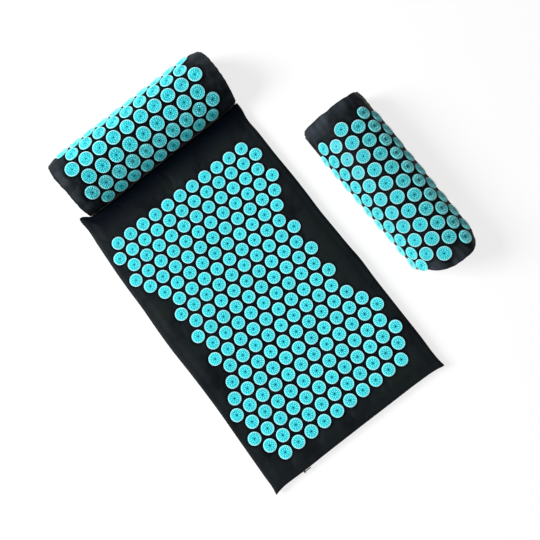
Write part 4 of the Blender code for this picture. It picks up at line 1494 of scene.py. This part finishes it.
    def settled(self, along: np.ndarray, arcs: np.ndarray, shares: np.ndarray) -> list[np.ndarray]:
        """How far the cover and both ends move when the closed pillow settles; the seams stay.

        Args:
            along: Stations of the cover along the axis.
            arcs: Arcs of the cover.
            shares: Shares of the end panels.

        Returns:
            Moves of the left end, the cover and the right end.
        """
        coarse_along, coarse_arcs = self.cover_stations(self.study_step)
        coarse_shares = np.array(self.study_shares)
        left = self.end_panel(Side.LOW, coarse_arcs, coarse_shares)[::-1]
        right = self.end_panel(Side.HIGH, coarse_arcs, coarse_shares)
        grid_along, grid_arc = np.meshgrid(coarse_along, coarse_arcs, indexing="ij")
        body = self.closed(self.surface(grid_along, grid_arc))[1:-1]
        grid = np.concatenate([left, body, right])[:, :-1]
        rows, columns = grid.shape[:2]
        numbers = np.arange(rows * columns).reshape(rows, columns)
        numbers = np.concatenate([numbers, numbers[:, :1]], axis=1)
        cells = grid_quads(rows, columns + 1)
        faces = [numbers.ravel()[cells].reshape(-1, 4), numbers[:1, :-1][:, ::-1], numbers[-1:, :-1]]
        away = to_nearest(np.stack([grid_along, grid_arc], axis=-1), self.lattice.centres())
        held = np.zeros((rows, columns))
        span = slice(len(left) - 1, len(left) - 1 + len(coarse_along))
        held[span, :len(coarse_arcs)] = away < self.disc.radius
        held[span, len(coarse_arcs) - 1:] = 1.0
        held[span, 0] = 1.0
        held[[span.start, span.stop - 1]] = self.seam_hold
        held[:, len(coarse_arcs):] = 1.0
        moves = self.study.settle(grid.reshape(-1, 3), faces, held.ravel()).reshape(grid.shape)
        moves = np.concatenate([moves, moves[:, :1]], axis=1)
        cover = resample(moves[span, :len(coarse_arcs)], coarse_along, coarse_arcs, along, arcs)
        inside = (self.length / 2 - np.abs(along))[:, None], (arcs[-1] - np.abs(arcs))[None, :]
        cover = cover * smoothstep(np.minimum(*inside) / self.seam_fade)[..., None]
        base = coarse_arcs[-1] + np.arange(1, self.base_points + 1) * self.study_step
        places, fine = np.concatenate([coarse_arcs, base]), np.concatenate([arcs, base])
        fade = smoothstep((1.0 - shares) / self.end_fade)[:, None, None]
        low, high = (resample(end, coarse_shares[::-1], places, shares[::-1], fine)[::-1] * fade
                     for end in (moves[:len(left)], moves[-len(right):][::-1]))
        return [low, cover, high]

    def build_cover(self, along: np.ndarray, arcs: np.ndarray, moves: np.ndarray) -> None:
        """Make the cover with its zip window, its discs, and the stitches along the zip."""
        grid_along, grid_arc = np.meshgrid(along, arcs, indexing="ij")
        chart = np.stack([grid_along, grid_arc], axis=-1)
        centres = self.lattice.centres()
        frames = self.disc_frames()
        bare = self.surface(grid_along, grid_arc)
        outer = pressed_flat(bare + moves, chart, centres, frames, self.disc.radius, self.give)
        outward = unit(bare * np.array([0.0, 1.0, 1.0]) - np.array([0.0, 0.0, self.centre_height]))
        inner = outer - outward * self.cloth
        middle = self.zip_angle * self.radius
        cells_along, cells_arc = (along[1:] + along[:-1]) / 2, (arcs[1:] + arcs[:-1]) / 2
        gap = (np.abs(cells_along)[:, None] < self.window_half) & (
            np.abs(cells_arc - middle)[None, :] < self.window_height / 2)
        place = self.matrix()
        # Painted light near the ends, in ripples like the tucks, for lit folds.
        into = smoothstep(1.0 - (self.length / 2 - np.abs(grid_along)) / self.painted_light_reach)
        tucks = 0.5 + self.painted_light_tucks.at(grid_arc, np.sign(grid_along) * 0.4 + grid_along * 0.3, self.seed)
        # Painted shadow along the low front edge, and painted shade round the discs.
        painted_shadow = smoothstep((grid_arc - arcs[0] - self.painted_shadow_strip) / self.painted_shadow_ease) - 1.0
        painted_shading = np.minimum(self.disc.painted_shade_at(to_nearest(chart, centres)), painted_shadow)
        cover = cloth_shell(self.name + "_cover_cloth", placed(outer, place), placed(inner, place), chart, ~gap,
                            painted_light_and_shade=into * np.clip(tucks, 0.0, 1.0) + painted_shading)
        finish_piece(cover, FINISHES.cotton, self.name, [self.name + "_cover"])
        self.disc.stand(self.name, self.name + "_cover", place[None] @ frames, self.seed + 11)
        half = self.window_half + self.stitch_margin
        path_along = stations([-half, half], STITCH.pitch)
        for label, arc in (("upper", middle - self.window_height / 2 - self.stitch_margin),
                           ("lower", middle + self.window_height / 2 + self.low_stitch_margin)):
            path = self.surface(path_along, np.full(len(path_along), arc))
            angle = arc / self.radius
            normal = np.broadcast_to(np.array([0.0, math.sin(angle), math.cos(angle)]), path.shape)
            STITCH.sew(f"{self.name}_zip_{label}_stitches", self.name, placed(path, place),
                       normal @ place[:3, :3].T)

    def build_end(self, side: Side, arcs: np.ndarray, shares: np.ndarray, moves: np.ndarray) -> None:
        """Make one end panel."""
        outer = self.end_panel(side, arcs, shares) + moves
        inner = self.end_panel(side, arcs, shares, self.cloth) + moves
        inner[..., 1:] = inner[..., 1:] * self.end_nest
        for surface in (outer, inner):
            surface[..., 2] = np.maximum(surface[..., 2], self.end_lift)
        place = self.matrix()
        node = f"{self.name}_{'left' if side is Side.LOW else 'right'}_end"
        panel = cloth_shell(node + "_cloth", placed(outer, place), placed(inner, place), outer[..., 1:], ring=True)
        finish_piece(panel, FINISHES.cotton, self.name, [node])

    def blended(self, end: EndForm, share: np.ndarray) -> np.ndarray:
        """Offset of the straight lower seam of an end, from its front corner at -1 to its rear corner at 1."""
        return end.front * (1.0 - share) / 2 + end.rear * (1.0 + share) / 2

    def build_base(self) -> None:
        """Make the flat base cloth, its edges turned up a little."""
        half_width = self.radius * math.sin(self.base_angle) - self.base_side_inset
        along_step, across_step = self.base_steps
        shares = stations([0.0, 1.0], along_step / self.length)
        across = stations([-half_width, half_width], across_step)
        low = -self.length / 2 + self.base_inset - self.blended(self.left_end, across / half_width)
        high = self.length / 2 - self.base_inset + self.blended(self.right_end, across / half_width)
        grid_along = low[None, :] * (1.0 - shares)[:, None] + high[None, :] * shares[:, None]
        narrow = self.taper * grid_along / (self.length / 2) * math.sin(self.base_angle)
        grid_across = across * (1.0 - narrow / half_width * (across < 0))
        edge = np.minimum(np.minimum(grid_along - low, high - grid_along), half_width - np.abs(grid_across))
        height = self.base_lift * smoothstep(1.0 - edge / self.base_lift_width)
        outer = np.stack([grid_along, grid_across, height], axis=-1)
        inner = outer + np.array([0.0, 0.0, self.cloth - self.base_lift])
        place = self.matrix()
        chart = np.stack([grid_along, grid_across], axis=-1)
        base = cloth_shell(self.name + "_base_cloth", placed(outer, place), placed(inner, place), chart)
        finish_piece(base, FINISHES.cotton, self.name, [self.name + "_base"])

    def build_foam(self) -> None:
        """Make the half-round foam core, cut back behind the zip."""
        along, arcs = self.cover_stations(self.hidden_step)
        grid_along, grid_arc = np.meshgrid(along, arcs, indexing="ij")
        arch = self.surface(grid_along * self.foam_share, grid_arc * self.foam_share, self.cloth + self.foam_gap)
        arch[..., 2] = np.maximum(arch[..., 2], self.foam_lift)
        from_zip = np.abs(grid_arc - self.zip_angle * self.radius)
        groove = smoothstep((self.window_half + self.groove_margin - np.abs(grid_along)) / self.groove_ease)
        groove = groove * smoothstep((self.groove_half - from_zip) / self.groove_edge)
        arch[..., 1] -= self.groove_depth * groove
        low, high = (np.broadcast_to([end[..., 0].mean(), 0.0, self.end_middle], end.shape)
                     for end in (arch[:1], arch[-1:]))
        near, far = self.foam_ring
        grid = np.concatenate([low, arch[:1] * near + low * far, arch, arch[-1:] * near + high * far, high])
        grid = np.concatenate([grid, grid[:, :1]], axis=1)
        core = make_object(self.name + "_foam_half_round", placed(grid.reshape(-1, 3), self.matrix()),
                           [grid_quads(*grid.shape[:2]).reshape(-1, 4)])
        finish_piece(core, FINISHES.foam, self.name, [self.name + "_foam_core"])

    def build(self) -> None:
        """Make and dress every piece of the pillow."""
        along, arcs = self.cover_stations(self.cloth_step)
        shares = np.concatenate([np.linspace(1.0, 0.86, 6), np.linspace(0.82, 0.0, 16)])
        low, cover, high = self.settled(along, arcs, shares)
        self.build_cover(along, arcs, cover)
        self.build_end(Side.LOW, arcs, shares, low)
        self.build_end(Side.HIGH, arcs, shares, high)
        self.build_base()
        self.build_foam()
        hollow = self.radius - self.cloth
        depth = hollow - math.sqrt(hollow ** 2 - self.tape_reach ** 2) + self.fit_gap
        tilt = Matrix.Rotation(math.pi / 2 - self.zip_angle, 4, "X")
        place = Matrix.Translation((0.0, 0.0, self.centre_height)) @ tilt
        place = place @ Matrix.Translation((0.0, hollow - depth, 0.0))
        Zip(self.name, self.name, self.zip_length, self.matrix() @ np.array(place)).dress()


# Room, light and camera


@dataclass(frozen=True)
class Studio:
    """A white floor, soft light from the mat's upper left, a weak fill from its foot, and the camera."""

    floor_size: float = 30.0
    floor_glow: float = 0.78
    floor_grey: float = 0.42
    floor_fade: tuple[float, float] = (0.7, 1.8)
    world_strength: float = 0.17
    key_power: float = 264.0
    key_size: float = 1.6
    key_place: tuple[float, float, float] = (-2.60, 1.66, 2.09)
    fill_power: float = 22.0
    fill_size: float = 2.0
    fill_place: tuple[float, float, float] = (-1.20, -3.00, 1.30)
    aim: tuple[float, float, float] = (0.1, 0.0, 0.0)
    floor_drop: float = 0.05 * MM
    sensor: float = 36.0
    lens: float = 36.0 * 500.0 / 540.0
    eye: tuple[float, float, float] = (0.0130566, -0.1030269, 1.0525291)
    right: tuple[float, float, float] = (0.7872267, -0.6152846, -0.0412183)
    down: tuple[float, float, float] = (-0.6155024, -0.7798870, -0.1137234)
    forward: tuple[float, float, float] = (0.0378266, 0.1148961, -0.9926571)

    def seen_directly(self, tree: bpy.types.NodeTree) -> bpy.types.NodeSocket:
        """A number that is 1 for rays from the camera, a glossy surface or glass."""
        path = tree.nodes.new("ShaderNodeLightPath")
        total = path.outputs["Is Camera Ray"]
        for other in ("Is Glossy Ray", "Is Transmission Ray"):
            both = tree.nodes.new("ShaderNodeMath")
            both.operation = "MAXIMUM"
            tree.links.new(total, both.inputs[0])
            tree.links.new(path.outputs[other], both.inputs[1])
            total = both.outputs[0]
        return total

    def build_floor(self) -> None:
        """Lay the floor: white to the eye, with soft shadows near the object, and grey to the light it throws."""
        half, low = self.floor_size / 2, -self.floor_drop
        corners = np.array([[-half, -half, low], [half, -half, low], [half, half, low], [-half, half, low]])
        floor = make_object("studio_floor", corners, [np.array([[0, 1, 2, 3]])], weld=False)
        shader = Shader("studio_white")
        seen = self.seen_directly(shader.tree)
        away = shader.node("ShaderNodeVectorMath", {0: shader.places()}, operation="LENGTH").outputs["Value"]
        start, end = self.floor_fade
        glow = shader.node("ShaderNodeMapRange", {"Value": away, "From Min": start, "From Max": end,
                                                 "To Min": self.floor_glow, "To Max": 1.0}).outputs[0]
        shown = shader.math("SUBTRACT", 1.0, glow)
        shown = shader.node("ShaderNodeCombineXYZ", {0: shown, 1: shown, 2: shown}).outputs[0]
        colour = shader.mix(seen, (self.floor_grey,) * 3 + (1.0,), shown)
        shader.set(Base_Color=colour, Roughness=1.0, Specular_IOR_Level=0.0)
        shader.set(Emission_Color=(1.0, 1.0, 1.0, 1.0), Emission_Strength=shader.math("MULTIPLY", seen, glow))
        floor.data.materials.append(shader.material)

    def build_world(self) -> None:
        """Surround the scene with even light, which is seen as white."""
        world = bpy.data.worlds.new("studio_world")
        bpy.context.scene.world = world
        world.use_nodes = True
        tree = world.node_tree
        background = tree.nodes["Background"]
        background.inputs["Color"].default_value = (1.0, 1.0, 1.0, 1.0)
        mix = tree.nodes.new("ShaderNodeMix")
        tree.links.new(self.seen_directly(tree), mix.inputs["Factor"])
        mix.inputs["A"].default_value = self.world_strength
        mix.inputs["B"].default_value = 1.0
        tree.links.new(mix.outputs["Result"], background.inputs["Strength"])

    def lamp(self, name: str, place: Sequence[float], power: float, size: float) -> None:
        """Hang a square soft lamp that points at the middle of the object."""
        light = bpy.data.lights.new(name, "AREA")
        light.energy = power
        light.size = size
        made = bpy.data.objects.new(name, light)
        bpy.context.scene.collection.objects.link(made)
        back = unit(np.array(place) - np.array(self.aim))
        side = unit(np.cross([0.0, 0.0, 1.0], back))
        made.matrix_world = Matrix(frames_of(side, np.cross(back, side), back, [place])[0].tolist())

    def build_camera(self) -> None:
        """Set the camera where the photograph was taken."""
        camera = bpy.data.cameras.new("camera")
        camera.lens = self.lens
        camera.sensor_width = self.sensor
        camera.clip_start = 0.01
        made = bpy.data.objects.new("camera", camera)
        bpy.context.scene.collection.objects.link(made)
        pose = frames_of(self.right, -np.array(self.down), -np.array(self.forward), [self.eye])[0]
        made.matrix_world = Matrix(pose.tolist())
        bpy.context.scene.camera = made

    def build(self) -> None:
        """Make the floor, the light and the camera."""
        bpy.context.scene.view_settings.view_transform = "Standard"
        self.build_camera()
        self.build_floor()
        self.build_world()
        self.lamp("key_lamp", self.key_place, self.key_power, self.key_size)
        self.lamp("fill_lamp", self.fill_place, self.fill_power, self.fill_size)


def main() -> None:
    """Build the studio, the mat and both pillows, and note how large the result is."""
    logging.basicConfig(level=logging.INFO, format="%(message)s")
    Studio().build()
    Mat().build()
    Pillow("head_pillow", x=19.4 * MM, y=419 * MM, turn=math.radians(0.58), seed=100, flat_front=2.2 * MM,
           left_end=EndForm(1.5 * MM, 5 * MM, 6.5 * MM), right_end=EndForm(7.5 * MM, 6.5 * MM, -2 * MM)).build()
    Pillow("side_pillow", x=360 * MM, y=-2.7 * MM, turn=math.radians(-90.47), seed=200, taper=3.2 * MM,
           disc_lean=0.99,
           left_end=EndForm(-0.5 * MM, 10 * MM, 4 * MM), right_end=EndForm(9 * MM, -24 * MM, -25 * MM, 3.6),
           lattice=Lattice((9, 10, 9, 10, 9, 10, 9), 35 * MM, 28.6 * MM, -25.6 * MM, 12.0 * MM),
           # Painted shade: the tone darkens the side pillow's discs.
           disc=SpikeDisc(radius=14.2 * MM, tone=-4.0)).build()


if __name__ == "__main__":
    main()
